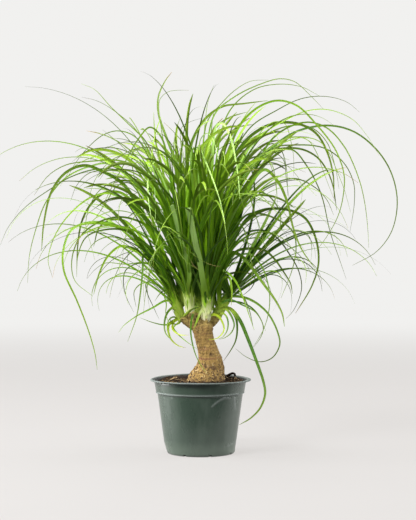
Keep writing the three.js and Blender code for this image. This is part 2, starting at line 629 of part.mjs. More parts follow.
// A blade: flat above, with a keel below, following its leaf and turning with its roll.
function blade(leaf, extra) {
  const { points, out } = leaf;
  const tangents = points.map((_, i) => {
    const before = points[Math.max(0, i - 1)];
    const after = points[Math.min(points.length - 1, i + 1)];
    return after.clone().sub(before).normalize();
  });
  const side = new THREE.Vector3().crossVectors(tangents[0], out).normalize();
  const sides = tangents.map((tangent) => {
    side.addScaledVector(tangent, -side.dot(tangent)).normalize();
    return side.clone();
  });
  const wanted = [...new Set(ringStations(points))];
  const rings = [];
  for (const i of wanted) {
    const along = i / (points.length - 1);
    if (along === 1 && !leaf.blunt) {
      rings.push({ tangent: tangents[i], corners: [points[i]] });
      break;
    }
    const width = Math.max(strap.leastWidth, leaf.width * widthAlong(along, leaf.blunt));
    const keel = Math.max(strap.leastKeel, strap.keelShare * width);
    const open = Math.min(1, along / strap.openRun);
    const across = sides[i].clone().applyAxisAngle(tangents[i], leaf.roll * open + leaf.twist * along);
    const up = new THREE.Vector3().crossVectors(tangents[i], across);
    const half = width / 2 + extra * 4;
    const corners = [[half, extra], [-half, extra], [0, -keel - extra * 1.4]].map(([x, y]) => (
      points[i].clone().addScaledVector(across, x).addScaledVector(up, y)));
    rings.push({ tangent: tangents[i], corners });
  }
  return loft(inOrder(rings).map((ring) => ring.corners));
}

// Rings that each lie wholly beyond the one before. Where a leaf turns more sharply than it is wide,
// the rings that would cross are left out. The last ring always stays.
function inOrder(rings) {
  const last = rings[rings.length - 1];
  const ordered = [];
  for (const ring of rings.slice(0, -1)) {
    if (!ordered.length || isBeyond(ordered[ordered.length - 1], ring)) {
      ordered.push(ring);
    }
  }
  while (ordered.length > 1 && !isBeyond(ordered[ordered.length - 1], last)) {
    ordered.pop();
  }
  return [...ordered, last];
}

function isBeyond(before, after) {
  return before.corners.every((corner, i) => {
    const run = (after.corners[i] ?? after.corners[0]).clone().sub(corner);
    return Math.min(run.dot(before.tangent), run.dot(after.tangent)) > strap.leastRun;
  });
}

// Heads

const boxesMeet = (a, b) => [0, 1, 2].every((i) => a.min[i] <= b.max[i] && b.min[i] <= a.max[i]);

// A solid with its box, kept to test later leaves against.
const kept = (solid, owner) => ({ solid, owner, box: solid.boundingBox() });

function touches(guard, owner) {
  const box = guard.boundingBox();
  return taken.some((other) => {
    if (other.owner === owner || !boxesMeet(box, other.box)) {
      return false;
    }
    const shared = guard.intersect(other.solid);
    const hit = !shared.isEmpty();
    shared.delete();
    return hit;
  });
}

// Whether a solid has no points so near, and no face so narrow, that rounding could close it.
function isSound(solid) {
  const geometry = geometryOf(solid);
  const before = geometry.attributes.position.count;
  if (mergeVertices(geometry, fitting.rounding).attributes.position.count !== before) {
    return false;
  }
  const { vertProperties, triVerts } = solid.getMesh();
  const corner = (i) => new THREE.Vector3().fromArray(vertProperties, 3 * triVerts[i]);
  for (let start = 0; start < triVerts.length; start += 3) {
    const [a, b, c] = [corner(start), corner(start + 1), corner(start + 2)];
    const sides = [a.distanceTo(b), b.distanceTo(c), c.distanceTo(a)];
    const narrow = 2 * new THREE.Triangle(a, b, c).getArea() / Math.max(...sides);
    if (Math.min(...sides) < fitting.shortest || narrow < fitting.narrowest) {
      return false;
    }
  }
  return true;
}

// Fuses a leaf to its head, clear of everything that isn't of its own head and not tangled with
// its neighbours, by small changes to its course. A leaf that finds no room is left out.
function placeLeaf(owner, make) {
  for (let attempt = 0; attempt < fitting.tries; attempt++) {
    const leaf = make(attempt);
    const guard = blade(leaf, clearance);
    const hit = touches(guard, owner);
    guard.delete();
    if (!hit) {
      const solid = blade(leaf, 0);
      const fused = heads[owner].body.add(solid).simplify(fitting.finest);
      const cost = fused.numTri() - heads[owner].body.numTri();
      const most = fitting.crowding + fitting.crowdingPerTry * attempt;
      if (cost < most * solid.numTri() && isSound(fused)) {
        taken.push(kept(solid, owner));
        heads[owner].body = fused;
        return;
      }
    }
  }
}

const colours = {
  pot: { color: 0x2f4238, roughness: 0.42, metalness: 0 },
  soil: { color: 0x2b1d13, roughness: 0.95, metalness: 0 },
  trunk: { color: 0xa37c4c, roughness: 0.9, metalness: 0 },
  left: { color: 0x4c8a1c, roughness: 0.45, metalness: 0 },
  middle: { color: 0x43801f, roughness: 0.45, metalness: 0 },
  centre: { color: 0x5a9a22, roughness: 0.45, metalness: 0 },
  right: { color: 0x3f7a20, roughness: 0.45, metalness: 0 },
  back: { color: 0x356f1d, roughness: 0.45, metalness: 0 },
  spent: { color: 0xb5b52a, roughness: 0.55, metalness: 0 },
};

const potSolid = makePot();
const soilSolid = makeSoil();
const coreSpaces = Object.values(heads).map((head) => makeCore(head, clearance));
const trunkSolid = Manifold.union([trunkForm(0, bark.relief), ...makeStubs(), ...makeRoots(0)])
  .subtract(Manifold.union(coreSpaces));

const taken = [kept(potSolid, 'pot'), kept(soilSolid, 'soil'), kept(trunkSolid, 'trunk')];
for (const head of Object.values(heads)) {
  head.body = makeCore(head, 0);
}
const spentSolids = Object.entries(spentLeaves).map(([name, { head, leaf }], i) => {
  const course = tracedLeaf(heads[head], leaf, spentSeed + i, 0);
  heads[head].body = heads[head].body.subtract(blade(course, clearance + fitting.spentRoom));
  const solid = blade(course, 0);
  taken.push(kept(solid, name));
  return [name, solid];
});
for (const [name, head] of Object.entries(heads)) {
  taken.push(kept(head.body, name));
}
for (const [name, list] of Object.entries(tracedLeaves)) {
  list.forEach((leaf, i) => {
    placeLeaf(name, (attempt) => tracedLeaf(heads[name], leaf, heads[name].seed + i, attempt));
  });
}
for (const [name, rule] of Object.entries(grownLeaves)) {
  for (let i = 0; i < rule.count; i++) {
    placeLeaf(name, (attempt) => grownLeaf(heads[name], rule, i, attempt));
  }
}

const group = new THREE.Group();
group.add(node('pot', potSolid, colours.pot));
group.add(node('soil', soilSolid, colours.soil));
group.add(node('trunk', trunkSolid, colours.trunk));
for (const [name, head] of Object.entries(heads)) {
  group.add(node(`head_${name}`, head.body, colours[name]));
}
for (const [name, solid] of spentSolids) {
  group.add(node(name, solid, colours.spent));
}

export default group;
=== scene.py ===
"""Looks of a ponytail palm in a round plastic nursery pot, over the solids of the part.

Places follow the part's own frame: +Z up, the front towards -Y, the origin at the centre of the
pot's underside. The tables are in millimetres, and meshes are made in metres.
"""
# ruff: noqa: E402
import logging
import math
from dataclasses import dataclass, field
from enum import Enum
from typing import Iterable, Sequence

import bpy
import numpy as np
from mathutils import Euler, Matrix, Vector, noise


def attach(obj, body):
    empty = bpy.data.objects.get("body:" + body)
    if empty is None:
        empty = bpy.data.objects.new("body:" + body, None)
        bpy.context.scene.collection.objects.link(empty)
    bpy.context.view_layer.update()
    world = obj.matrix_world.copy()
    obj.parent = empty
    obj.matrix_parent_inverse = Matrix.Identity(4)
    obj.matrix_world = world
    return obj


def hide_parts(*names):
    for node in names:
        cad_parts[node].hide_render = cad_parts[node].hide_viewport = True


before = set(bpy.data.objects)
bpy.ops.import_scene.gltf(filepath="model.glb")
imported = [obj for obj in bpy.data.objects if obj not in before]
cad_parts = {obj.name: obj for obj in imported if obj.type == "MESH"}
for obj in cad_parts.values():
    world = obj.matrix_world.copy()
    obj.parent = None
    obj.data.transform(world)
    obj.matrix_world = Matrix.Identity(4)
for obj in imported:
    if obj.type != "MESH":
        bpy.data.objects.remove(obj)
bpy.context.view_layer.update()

LOG = logging.getLogger("ponytail_palm")
MM = 0.001

# Camera that the courses of the traced leaves were read for, in millimetres.
VIEW_X, VIEW_Z, VIEW_DISTANCE = 11.7, 318.0, 2250.0

UP, AWAY = np.array([0, 0, 1.0]), np.array([0, 1.0, 0])
HINT = np.array([0.3, 1.0, 0.1])  # crossed with a head's axis for its first side

# Shares of a turn, and radians, that spread leaves evenly round a head.
GOLDEN_SHARE, GOLDEN_ANGLE = 0.618034, 2.39996

# Steps along a leaf, and along an inner leaf or a leaf base.
COURSE_STEPS, INNER_STEPS, SHEATH_STEPS = 160, 120, 40

# What each kind of leaf adds to its head's seed, and the seed of the ageing leaves.
GROWN_SEED, FRINGE_SEED, INNER_SEED, SHEATH_SEED, SPENT_SEED = 100, 300, 500, 900, 6000

# Width in millimetres below which a traced leaf counts as thin.
THIN = 6.0


class Tip(Enum):
    """How a leaf ends."""

    POINTED = "pointed"
    BLUNT = "blunt"
    CUT = "cut"
    DRY = "dry"


class Root(Enum):
    """Where on its head a leaf springs from, if not from its usual place."""

    LOW = "low"


class Hue(Enum):
    """Tone and paling of a leaf that differ from its head's own, in part painted shade and painted light."""

    # Dark tone, partly painted shade of leaves deep in the tuft.
    DARK = (0.05, 0.0)
    MIDDLING = (0.45, 0.0)
    # Brightest tone, partly painted backlight.
    LIME_BACKLIT = (1.25, 0.0)
    # Pale tone, its paling partly painted light.
    PALE = (0.8, 0.75)


# Trunk sections: height, centre x, radius across, radius front to back.
TRUNK_SECTIONS: list[tuple[float, float, float, float]] = [
    (76, 6, 17, 16), (84, 6, 29, 28), (96, 7, 35, 33), (108, 7.5, 34.5, 33), (118, 8, 32.6, 31.5),
    (125, 9, 30.4, 29.5), (132, 11, 28.2, 27), (140, 13.5, 24.4, 24), (150, 15.3, 20.6, 21.5),
    (160, 14.5, 18.6, 19.5), (170, 12, 17.1, 18), (180, 8.6, 16.5, 17), (190, 5.6, 15.6, 16.4),
    (200, 3.8, 15.8, 16), (207, 3.2, 16.4, 16.2), (213, 3.2, 14.2, 14), (217, 3.4, 8.5, 8.5),
]

# Leaves whose course shows from the front, by head: width, depth of the tip behind the trunk's
# axis, the course as x, z pairs read in the plane of that axis, and what isn't usual about its tip,
# its hue or its root.
TRACED_LEAVES: dict[str, list[tuple]] = {
    "left": [
        (6.5, -40, [-52, 285, -80, 332, -118, 364, -150, 378, -190, 379, -214, 367, -227, 335, -226, 300,
          -205, 252, -186, 203, -175, 165, -171, 137]),
        (7.5, 30, [-58, 290, -85, 334, -112, 372, -130, 384, -152, 383, -168, 371, -177, 340]),
        (5.5, -90, [-60, 310, -88, 372, -118, 387, -145, 388, -175, 377, -200, 355, -213, 318, -208, 284,
          -178, 258]),
        (7, 60, [-52, 280, -80, 314, -110, 334, -131, 341, -152, 326, -167, 298, -177, 261]),
        (6, -120, [-60, 300, -98, 350, -130, 368, -168, 366, -190, 355, -203, 325, -205, 290]),
        (7, 90, [-62, 320, -95, 390, -130, 428, -158, 429, -180, 412, -196, 383, -203, 345, -205, 300]),
        (6, 20, [-60, 310, -92, 375, -125, 415, -152, 428, -180, 422, -205, 405, -232, 374, -247, 343,
          -252, 316, -245, 290]),
        (8, -60, [-50, 285, -66, 325, -84, 372, -104, 408, -130, 445, -160, 463, -192, 474, -222, 463,
          -246, 432, -259, 380, -263, 333]),
        (4.5, -50, [-44, 246, -57, 251, -80, 239, -107, 225, -128, 209, -136, 198]),
        (4.5, 70, [-46, 256, -60, 270, -80, 280, -98, 279, -110, 266, -107, 240]),
        (4.5, -30, [-47, 257, -58, 268, -68, 262, -76, 250]),
        (4, -24, [-40, 225, -47, 214, -60, 211, -80, 215, -101, 223]),
        (5, -35, [-42, 242, -54, 233, -60, 216, -58, 197, -44, 182]),
        (5.5, -110, [-56, 290, -80, 322, -94, 326, -96, 300, -100, 262, -106, 225, -121, 183], Hue.DARK),
        (3.5, 100, [-50, 262, -70, 285, -90, 280, -88, 262, -79, 242, -69, 220]),
        (4, 80, [-55, 285, -84, 310, -105, 312, -124, 301, -128, 283, -123, 257, -111, 232]),
        (4, -90, [-54, 280, -85, 302, -100, 301, -118, 285, -124, 265, -120, 245]),
        (3.5, 130, [-56, 290, -86, 313, -125, 311, -157, 313, -175, 302, -188, 287]),
        (3.5, -60, [-62, 330, -90, 400, -114, 428, -131, 416, -136, 385, -131, 362, -123, 350]),
        (5.5, -100, [-64, 340, -92, 410, -118, 445, -138, 440, -158, 410, -178, 381]),
        (4.5, -50, [-52, 270, -60, 262, -57, 245, -58, 230, -52, 210]),
    ],
    "middle": [
        (5.5, 40, [-40, 330, -75, 400, -112, 452, -148, 477, -185, 472, -225, 452, -256, 413, -272, 370,
          -283, 325, -286, 280]),
        (4, 10, [-45, 340, -85, 420, -125, 462, -170, 468, -215, 455, -250, 434, -290, 405, -318, 372,
          -331, 343]),
        (8, 60, [-22, 300, -28, 400, -38, 470, -55, 515, -70, 560, -70, 588, -58, 615, -48, 628], Hue.DARK),
        (9, -40, [-30, 320, -50, 400, -66, 480, -74, 510, -77, 540, -78, 562], Hue.MIDDLING),
        (4, 90, [-30, 330, -50, 450, -66, 540, -68, 582, -55, 595, -40, 598, -20, 598]),
        (5.5, 50, [-32, 330, -60, 440, -90, 512, -118, 541, -150, 572, -175, 599, -198, 609]),
        (4, -70, [-35, 330, -65, 450, -105, 530, -140, 562, -170, 580, -197, 587]),
        (4.5, 110, [-35, 340, -70, 460, -107, 520, -135, 531, -160, 525, -185, 505, -207, 478, -221, 452]),
        (4.5, -120, [-36, 340, -66, 430, -95, 478, -130, 500, -165, 503, -190, 497, -212, 480]),
        (5, 140, [-36, 330, -68, 430, -105, 481, -145, 493, -180, 487, -212, 470, -232, 440]),
        (5.5, -20, [-36, 330, -66, 420, -95, 465, -135, 482, -180, 481, -222, 475, -252, 457, -275, 425]),
        (5.5, -100, [-32, 340, -50, 450, -65, 520, -84, 537, -105, 515, -128, 474, -148, 436, -168, 395]),
        (5, 100, [-38, 340, -72, 420, -110, 456, -150, 466, -185, 461, -205, 441, -215, 415]),
        (3.5, -140, [-38, 340, -80, 430, -130, 450, -170, 430, -190, 380, -182, 345, -175, 318]),
        (3, -120, [-40, 310, -62, 362, -74, 382, -62, 376, -42, 357, -20, 334, 0, 318, 16, 311, 33, 307]),
        (3, -110, [-38, 310, -52, 350, -56, 366, -45, 350, -34, 328, -20, 312, 0, 300]),
        (6, -60, [-44, 300, -66, 340, -77, 372, -84, 410, -87, 445, -80, 475, -66, 492], Hue.PALE),
        (6, 20, [-20, 320, -36, 420, -45, 500, -40, 535, -33, 556]),
        (4, -46, [-13, 244, -11, 239, -15, 222, -17, 203, -14, 180, -8, 160, 2, 141, 13, 128], Hue.DARK),
    ],
    "centre": [
        (8.5, 70, [0, 330, -14, 420, -22, 480, -12, 520, 8, 552, 35, 571, 70, 576, 110, 581], Hue.DARK),
        (5, 100, [4, 330, 2, 450, 10, 545, 30, 572, 56, 598, 82, 613, 112, 615]),
        (5, 40, [8, 330, 8, 460, 22, 557, 55, 587, 95, 607, 130, 617, 155, 612, 180, 590, 203, 566]),
        (4.5, -60, [12, 340, 22, 460, 45, 560, 85, 598, 125, 608, 165, 604, 197, 588]),
        (6, -70, [14, 330, 35, 450, 60, 533, 90, 567, 125, 581, 158, 573, 192, 540, 222, 500, 236, 460,
          235, 425, 226, 390, 208, 357, 190, 333], Hue.MIDDLING),
        (7, -190, [2, 330, -12, 430, -14, 500, -4, 503, 8, 480, 20, 450, 31, 418, 40, 378], Hue.PALE),
        (5, -120, [4, 340, -4, 460, 0, 518, 10, 527, 19, 519, 27, 494, 32, 470], Hue.PALE),
        (6.5, -150, [10, 340, 18, 460, 26, 540, 36, 543, 48, 523, 57, 485, 62, 450, 64, 418], Hue.PALE),
        (5.5, -160, [8, 330, 12, 420, 22, 474, 34, 476, 48, 456, 62, 432, 72, 400], Hue.MIDDLING),
        (4, 30, [6, 340, 2, 460, 8, 555, 12, 580, 21, 606]),
        (4, 60, [-2, 340, -18, 440, -32, 500, -32, 536, -18, 546, 6, 553]),
        (8.5, -40, [5, 280, 2, 340, 2, 400, 4, 460, 10, 505, 24, 540], Hue.LIME_BACKLIT),
        (8, -60, [9, 290, 8, 340, 11, 395, 20, 440, 32, 478, 50, 500], Hue.LIME_BACKLIT),
        (5.5, -40, [14, 300, 30, 380, 55, 460, 95, 520, 140, 549, 175, 564, 210, 566, 250, 550, 277, 519,
          294, 490]),
        (4.5, 80, [14, 330, 36, 450, 80, 535, 125, 565, 165, 584, 205, 588, 240, 579, 262, 562]),
        (8.5, 60, [10, 330, 28, 442, 55, 490, 85, 525, 120, 543, 160, 543, 190, 527, 208, 497, 218, 460,
          220, 415], Hue.DARK),
        (5, 100, [14, 330, 46, 460, 100, 520, 150, 540, 183, 536, 208, 512, 222, 470, 228, 435]),
        (4.5, -140, [16, 330, 40, 410, 62, 443, 76, 434, 87, 400, 97, 372, 104, 342]),
        (4.5, -130, [16, 340, 56, 440, 95, 485, 115, 478, 124, 445, 126, 408]),
        (6, -26, [6, 238, 0, 233, -7, 217, -14, 199]),
        (8, -50, [3, 285, -4, 320, -12, 360, -22, 404], Tip.CUT, Hue.PALE),
        (4, -66, [-8, 290, -27, 327, -37, 362, -48, 408], Tip.CUT, Hue.PALE),
    ],
    "right": [
        (6, 30, [34, 300, 62, 380, 80, 440, 100, 485, 125, 510, 160, 531, 210, 540, 252, 530, 290, 500,
          314, 462, 324, 415, 315, 366, 290, 332, 250, 309]),
        (5, -80, [34, 310, 74, 430, 120, 520, 170, 545, 206, 537, 236, 506, 258, 460, 269, 420, 275, 375,
          277, 338]),
        (8, -90, [32, 300, 52, 365, 80, 440, 105, 467, 126, 449, 142, 415, 152, 372, 166, 336, 189, 303]),
        (6.5, -30, [32, 290, 52, 345, 78, 388, 105, 401, 143, 401, 172, 387, 190, 352, 194, 312, 183, 275,
          156, 230]),
        (6, 60, [30, 300, 42, 370, 66, 410, 98, 433, 130, 448, 158, 452, 188, 438, 208, 417, 219, 392]),
        (5, -110, [30, 310, 46, 380, 70, 422, 98, 430, 117, 419, 131, 393, 128, 365, 108, 340, 86, 324]),
        (4, 120, [30, 310, 48, 375, 78, 413, 105, 416, 130, 406, 147, 381]),
        (5.5, -60, [32, 300, 50, 358, 75, 392, 100, 394, 135, 380, 153, 362, 157, 335, 150, 300, 132, 255]),
        (4.5, 130, [32, 340, 65, 455, 110, 497, 135, 485, 141, 450, 146, 415]),
        (5, -90, [32, 300, 44, 355, 57, 381, 70, 370, 80, 332, 85, 300, 79, 269]),
        (5, 70, [32, 280, 48, 330, 72, 361, 102, 367, 124, 356, 146, 328, 162, 298, 166, 270, 153, 235,
          140, 221]),
        (5, 100, [32, 285, 46, 330, 60, 350, 82, 344, 105, 334, 125, 316, 142, 290]),
        (6.5, -20, [32, 275, 45, 316, 60, 333, 82, 337, 105, 334, 122, 319, 138, 296, 148, 279, 151, 262]),
        (8, -70, [30, 270, 38, 312, 50, 330, 66, 325, 85, 304, 103, 279, 122, 253, 134, 230, 138, 208]),
        (6, -100, [28, 270, 32, 302, 44, 297, 57, 283, 68, 260, 78, 232, 88, 202]),
        (5, 60, [30, 262, 38, 287, 55, 297, 76, 297, 89, 288, 84, 273, 66, 257]),
        (6.5, -56, [29, 258, 36, 287, 46, 289, 51, 268, 50, 243]),
        (7, -60, [33, 240, 48, 238, 64, 219, 78, 187, 92, 150, 103, 118, 106, 97, 98, 74, 82, 57, 63, 46]),
        (5.5, 40, [30, 246, 45, 257, 68, 257, 90, 248, 112, 228, 127, 198, 130, 178, 118, 157, 98, 150,
          75, 158, 57, 172]),
        (4.5, -80, [31, 244, 48, 252, 70, 243, 90, 232, 102, 213, 107, 200]),
        (4.5, -110, [30, 275, 52, 318, 80, 328, 100, 308, 112, 272, 113, 240, 104, 205, 86, 174]),
        (4, 80, [28, 250, 36, 262, 52, 265, 68, 259, 79, 238, 87, 204]),
        (5, -30, [30, 238, 41, 237, 50, 226, 55, 210, 50, 198, 40, 190, 30, 187]),
        (5.5, 24, [32, 236, 46, 238, 57, 224, 60, 204, 57, 184, 48, 167, 37, 151]),
    ],
    "back": [
        (5, 120, [20, 330, 60, 450, 110, 500, 160, 508, 205, 502, 236, 478, 252, 445, 253, 410, 246, 365]),
        (6.5, 90, [20, 330, 58, 445, 110, 495, 160, 502, 190, 489, 208, 466, 218, 440, 224, 400]),
        (5, 140, [18, 330, 55, 440, 110, 490, 150, 500, 175, 473, 193, 440, 202, 415, 213, 365, 229, 318,
          240, 286]),
        (4.5, 130, [-24, 340, -60, 440, -100, 490, -140, 487, -172, 455, -188, 410]),
        (4.5, 150, [14, 330, 44, 430, 90, 470, 125, 482, 160, 455, 167, 428, 162, 402]),
    ],
}

# Leaves that the solids don't hold, as above: fine strands that curl round the heads' feet or hang
# in front, dark leaves deep inside whose dark tone is partly painted shade, and broad leaves that
# fill the heart of the tuft.
FRINGE_LEAVES: dict[str, list[tuple]] = {
    "left": [
        (4, -40, [-39, 233, -48, 238, -56, 230, -60, 217, -60, 207, -58, 197]),
        (4, -55, [-37, 219, -44, 224, -50, 222, -55, 214, -56, 201]),
        (3.5, -30, [-34, 216, -40, 212, -45, 213, -50, 218, -51, 225]),
        (3, -60, [-39, 213, -45, 207, -39, 197, -26, 185, -6, 171], Root.LOW),
        (6, -60, [-31, 222, -23, 230, -14, 237, -5, 240, 2, 237], Root.LOW),
        (8, 12, [-31, 250, -35, 300, -42, 350, -54, 400, -70, 440], Hue.DARK),
        (8, 8, [-34, 250, -43, 300, -54, 350, -68, 400], Hue.DARK),
        (7, 20, [-26, 250, -25, 300, -29, 350, -38, 400], Hue.DARK),
        (7, 14, [-37, 252, -49, 290, -62, 330, -80, 380], Hue.DARK),
        (3, -70, [-75, 381, -61, 372, -44, 358, -29, 343, -14, 328, 2, 317, 17, 310, 29, 307], Tip.DRY),
    ],
    "middle": [
        (3, -75, [-51, 370, -44, 360, -33, 346, -19, 322, -12, 309, -5, 303], Tip.DRY),
        (6.5, -105, [-19, 296, -27, 332, -34, 354, -40, 379, -45, 398, -48, 408], Tip.CUT, Hue.PALE),
        (5.5, -100, [-36, 330, -60, 420, -76, 460, -83, 471, -87, 456, -88, 430, -84, 400, -80, 374],
         Hue.PALE),
        (5, -84, [-34, 330, -52, 420, -66, 458, -74, 470, -77, 455, -76, 430, -75, 400, -76, 372], Hue.PALE),
        (7, -10, [-30, 330, -50, 400, -62, 446, -74, 480, -88, 510], Hue.DARK, Tip.BLUNT),
        (8.5, 10, [-24, 320, -38, 390, -46, 440, -52, 484], Hue.DARK, Tip.BLUNT),
        (8, 20, [-22, 320, -30, 390, -34, 440, -34, 490, -28, 516], Hue.MIDDLING, Tip.BLUNT),
    ],
    "centre": [
        (9, -122, [3, 285, -3, 322, -8, 341, -14, 370, -18, 390, -21, 403], Tip.CUT, Hue.PALE),
        (8.5, -30, [12, 285, 16, 340, 22, 400, 34, 450, 52, 490], Hue.LIME_BACKLIT, Tip.BLUNT),
        (8.5, -20, [1, 285, -4, 340, -8, 400, -10, 460, -2, 510], Hue.DARK, Tip.BLUNT),
        (9, 20, [-2, 300, -14, 384, -13, 440, -10, 488, -4, 508], Hue.MIDDLING, Tip.BLUNT),
        (10, -34, [2, 300, 2, 384, 4, 446, 10, 496, 19, 520, 32, 538], Hue.LIME_BACKLIT, Tip.BLUNT),
        (9.5, -42, [6, 300, 14, 384, 24, 438, 36, 472, 46, 498, 55, 524], Hue.LIME_BACKLIT, Tip.BLUNT),
        (10, 50, [12, 300, 31, 384, 45, 430, 58, 464, 75, 498, 89, 519, 110, 532], Hue.DARK, Tip.BLUNT),
        (8, 30, [0, 330, -4, 430, -4, 480, 10, 513, 28, 540, 49, 554, 76, 562], Hue.DARK),
        (8.5, -10, [14, 320, 42, 412, 57, 454, 66, 480, 80, 506], Hue.MIDDLING, Tip.BLUNT),
        (6, 24, [2, 330, -4, 430, -14, 480, -24, 501, -39, 523, -61, 545], Hue.DARK),
        (9, 70, [0, 300, -4, 400, 0, 460, 8, 500, 22, 536, 36, 552], Hue.DARK, Tip.BLUNT),
        (9, 80, [4, 300, 12, 400, 24, 460, 42, 510, 62, 540, 80, 552], Hue.DARK, Tip.BLUNT),
        (8.5, 0, [8, 300, 20, 384, 30, 440, 44, 480, 62, 512, 70, 528], Hue.MIDDLING, Tip.BLUNT),
        (9, 90, [10, 300, 34, 400, 56, 450, 84, 492, 112, 512, 136, 516], Hue.DARK, Tip.BLUNT),
        (8, 40, [2, 300, 6, 400, 14, 460, 22, 500, 36, 528, 50, 540], Hue.MIDDLING, Tip.BLUNT),
        (9.5, 60, [8, 320, 22, 400, 36, 450, 60, 494, 92, 522, 124, 530], Hue.MIDDLING, Tip.BLUNT),
        (4.5, -60, [20, 330, 44, 420, 76, 490, 97, 502, 112, 481, 122, 451, 126, 416], Hue.DARK),
        (5, 50, [20, 330, 56, 430, 98, 496, 118, 510, 133, 498, 141, 470, 143, 440, 143, 424], Hue.DARK),
        (4, 20, [16, 330, 44, 430, 84, 510, 118, 545, 138, 543, 149, 512, 153, 487, 153, 456], Hue.MIDDLING),
        (4, -20, [18, 330, 60, 440, 110, 500, 150, 521, 176, 516, 190, 497, 200, 470, 210, 443, 219, 420]),
        (4, -50, [18, 330, 64, 440, 120, 502, 166, 520, 195, 514, 212, 494, 224, 466, 237, 433, 247, 397]),
        (4.5, 30, [20, 330, 36, 390, 50, 428, 62, 444, 74, 437, 85, 411, 93, 382, 100, 355], Hue.DARK),
    ],
    "back": [
        (8, 20, [-12, 250, -30, 290, -44, 330, -58, 380, -66, 430], Hue.DARK),
        (8, 30, [-14, 255, -36, 305, -54, 350, -72, 400, -88, 440], Hue.DARK),
        (7.5, 20, [-10, 250, -24, 290, -34, 330, -42, 390, -46, 440], Hue.DARK),
        (7.5, 26, [-16, 250, -40, 288, -58, 320, -80, 360, -100, 390], Hue.DARK),
        (9, 30, [-6, 250, -12, 300, -14, 350, -16, 400, -18, 440], Hue.DARK),
        (9, 30, [-2, 250, 0, 300, 2, 350, 4, 410, 8, 450], Hue.DARK),
        (8, 30, [6, 255, 16, 300, 24, 350, 34, 400, 50, 440], Hue.DARK),
        (5.5, 34, [10, 250, 22, 290, 34, 330, 48, 370, 60, 390], Hue.DARK),
        (7, 30, [4, 250, 10, 290, 20, 335, 30, 380], Hue.DARK),
    ],
    "right": [
        (7.5, -6, [20, 238, 20, 262, 28, 300, 42, 350], Hue.LIME_BACKLIT),
        (6.5, 2, [16, 240, 17, 268, 22, 300], Hue.MIDDLING),
        (6, 16, [21, 250, 19, 285, 24, 330, 32, 380, 46, 430], Hue.DARK),
        (5.5, 22, [24, 250, 27, 290, 36, 330, 48, 360], Hue.DARK),
        (4, -10, [25, 239, 33, 249, 51, 250, 69, 247, 84, 239, 96, 225, 103, 207, 99, 191, 87, 174]),
        (4, -55, [27, 227, 36, 230, 42, 225, 45, 214, 43, 201, 36, 191, 29, 188], Root.LOW),
        (4.5, -20, [28, 284, 39, 293, 55, 298, 70, 298, 83, 296]),
    ],
}

# Ageing leaves, by the solid that each stands for: the head it hangs from, and its row as above.
SPENT_LEAVES: dict[str, tuple[str, tuple]] = {
    "spent_leaf_right": (
        "centre", (3.6, -34, [20, 228, 28, 226, 36, 214, 38, 202, 27, 189, 11, 187], Root.LOW)
    ),
    "spent_leaf_left": (
        "left", (4.4, -30, [-42, 219, -52, 213, -54, 202, -49, 187, -38, 177, -25, 173], Root.LOW)
    ),
    "spent_leaf_front": ("left", (3.4, -48, [-44, 216, -47, 205, -36, 195, -20, 194], Root.LOW)),
}


# Shader and geometry graphs


class Wire:
    """A socket of a node tree, with the operators of ordinary sums."""

    def __init__(self, graph: "Graph", socket: bpy.types.NodeSocket) -> None:
        """Keeps the graph and the socket."""
        self.graph = graph
        self.socket = socket

    def __add__(self, other: object) -> "Wire":
        """Sum of two values."""
        return self.graph.sum_of("ADD", self, other)

    __radd__ = __add__

    def __sub__(self, other: object) -> "Wire":
        """Difference of two values."""
        return self.graph.sum_of("SUBTRACT", self, other)

    def __rsub__(self, other: object) -> "Wire":
        """Difference from a plain value."""
        return self.graph.sum_of("SUBTRACT", other, self)

    def __mul__(self, other: object) -> "Wire":
        """Product of two values."""
        return self.graph.sum_of("MULTIPLY", self, other)

    __rmul__ = __mul__

    def __pow__(self, other: object) -> "Wire":
        """Power of two values."""
        return self.graph.sum_of("POWER", self, other)

    def size(self) -> "Wire":
        """Value without its sign."""
        return self.graph.sum_of("ABSOLUTE", self)

    def smooth(self, low: float, high: float) -> "Wire":
        """Smooth step of the value.

        Args:
            low: value where the step is 0.
            high: value where the step is 1, which may be the lower of the two.

        Returns:
            A wire from 0 to 1.
        """
        if low > high:
            return 1.0 - self.smooth(high, low)
        settings = {"interpolation_type": "SMOOTHSTEP", "clamp": True}
        values = {"Value": self, "From Min": low, "From Max": high}
        return self.graph.node("ShaderNodeMapRange", settings, values)


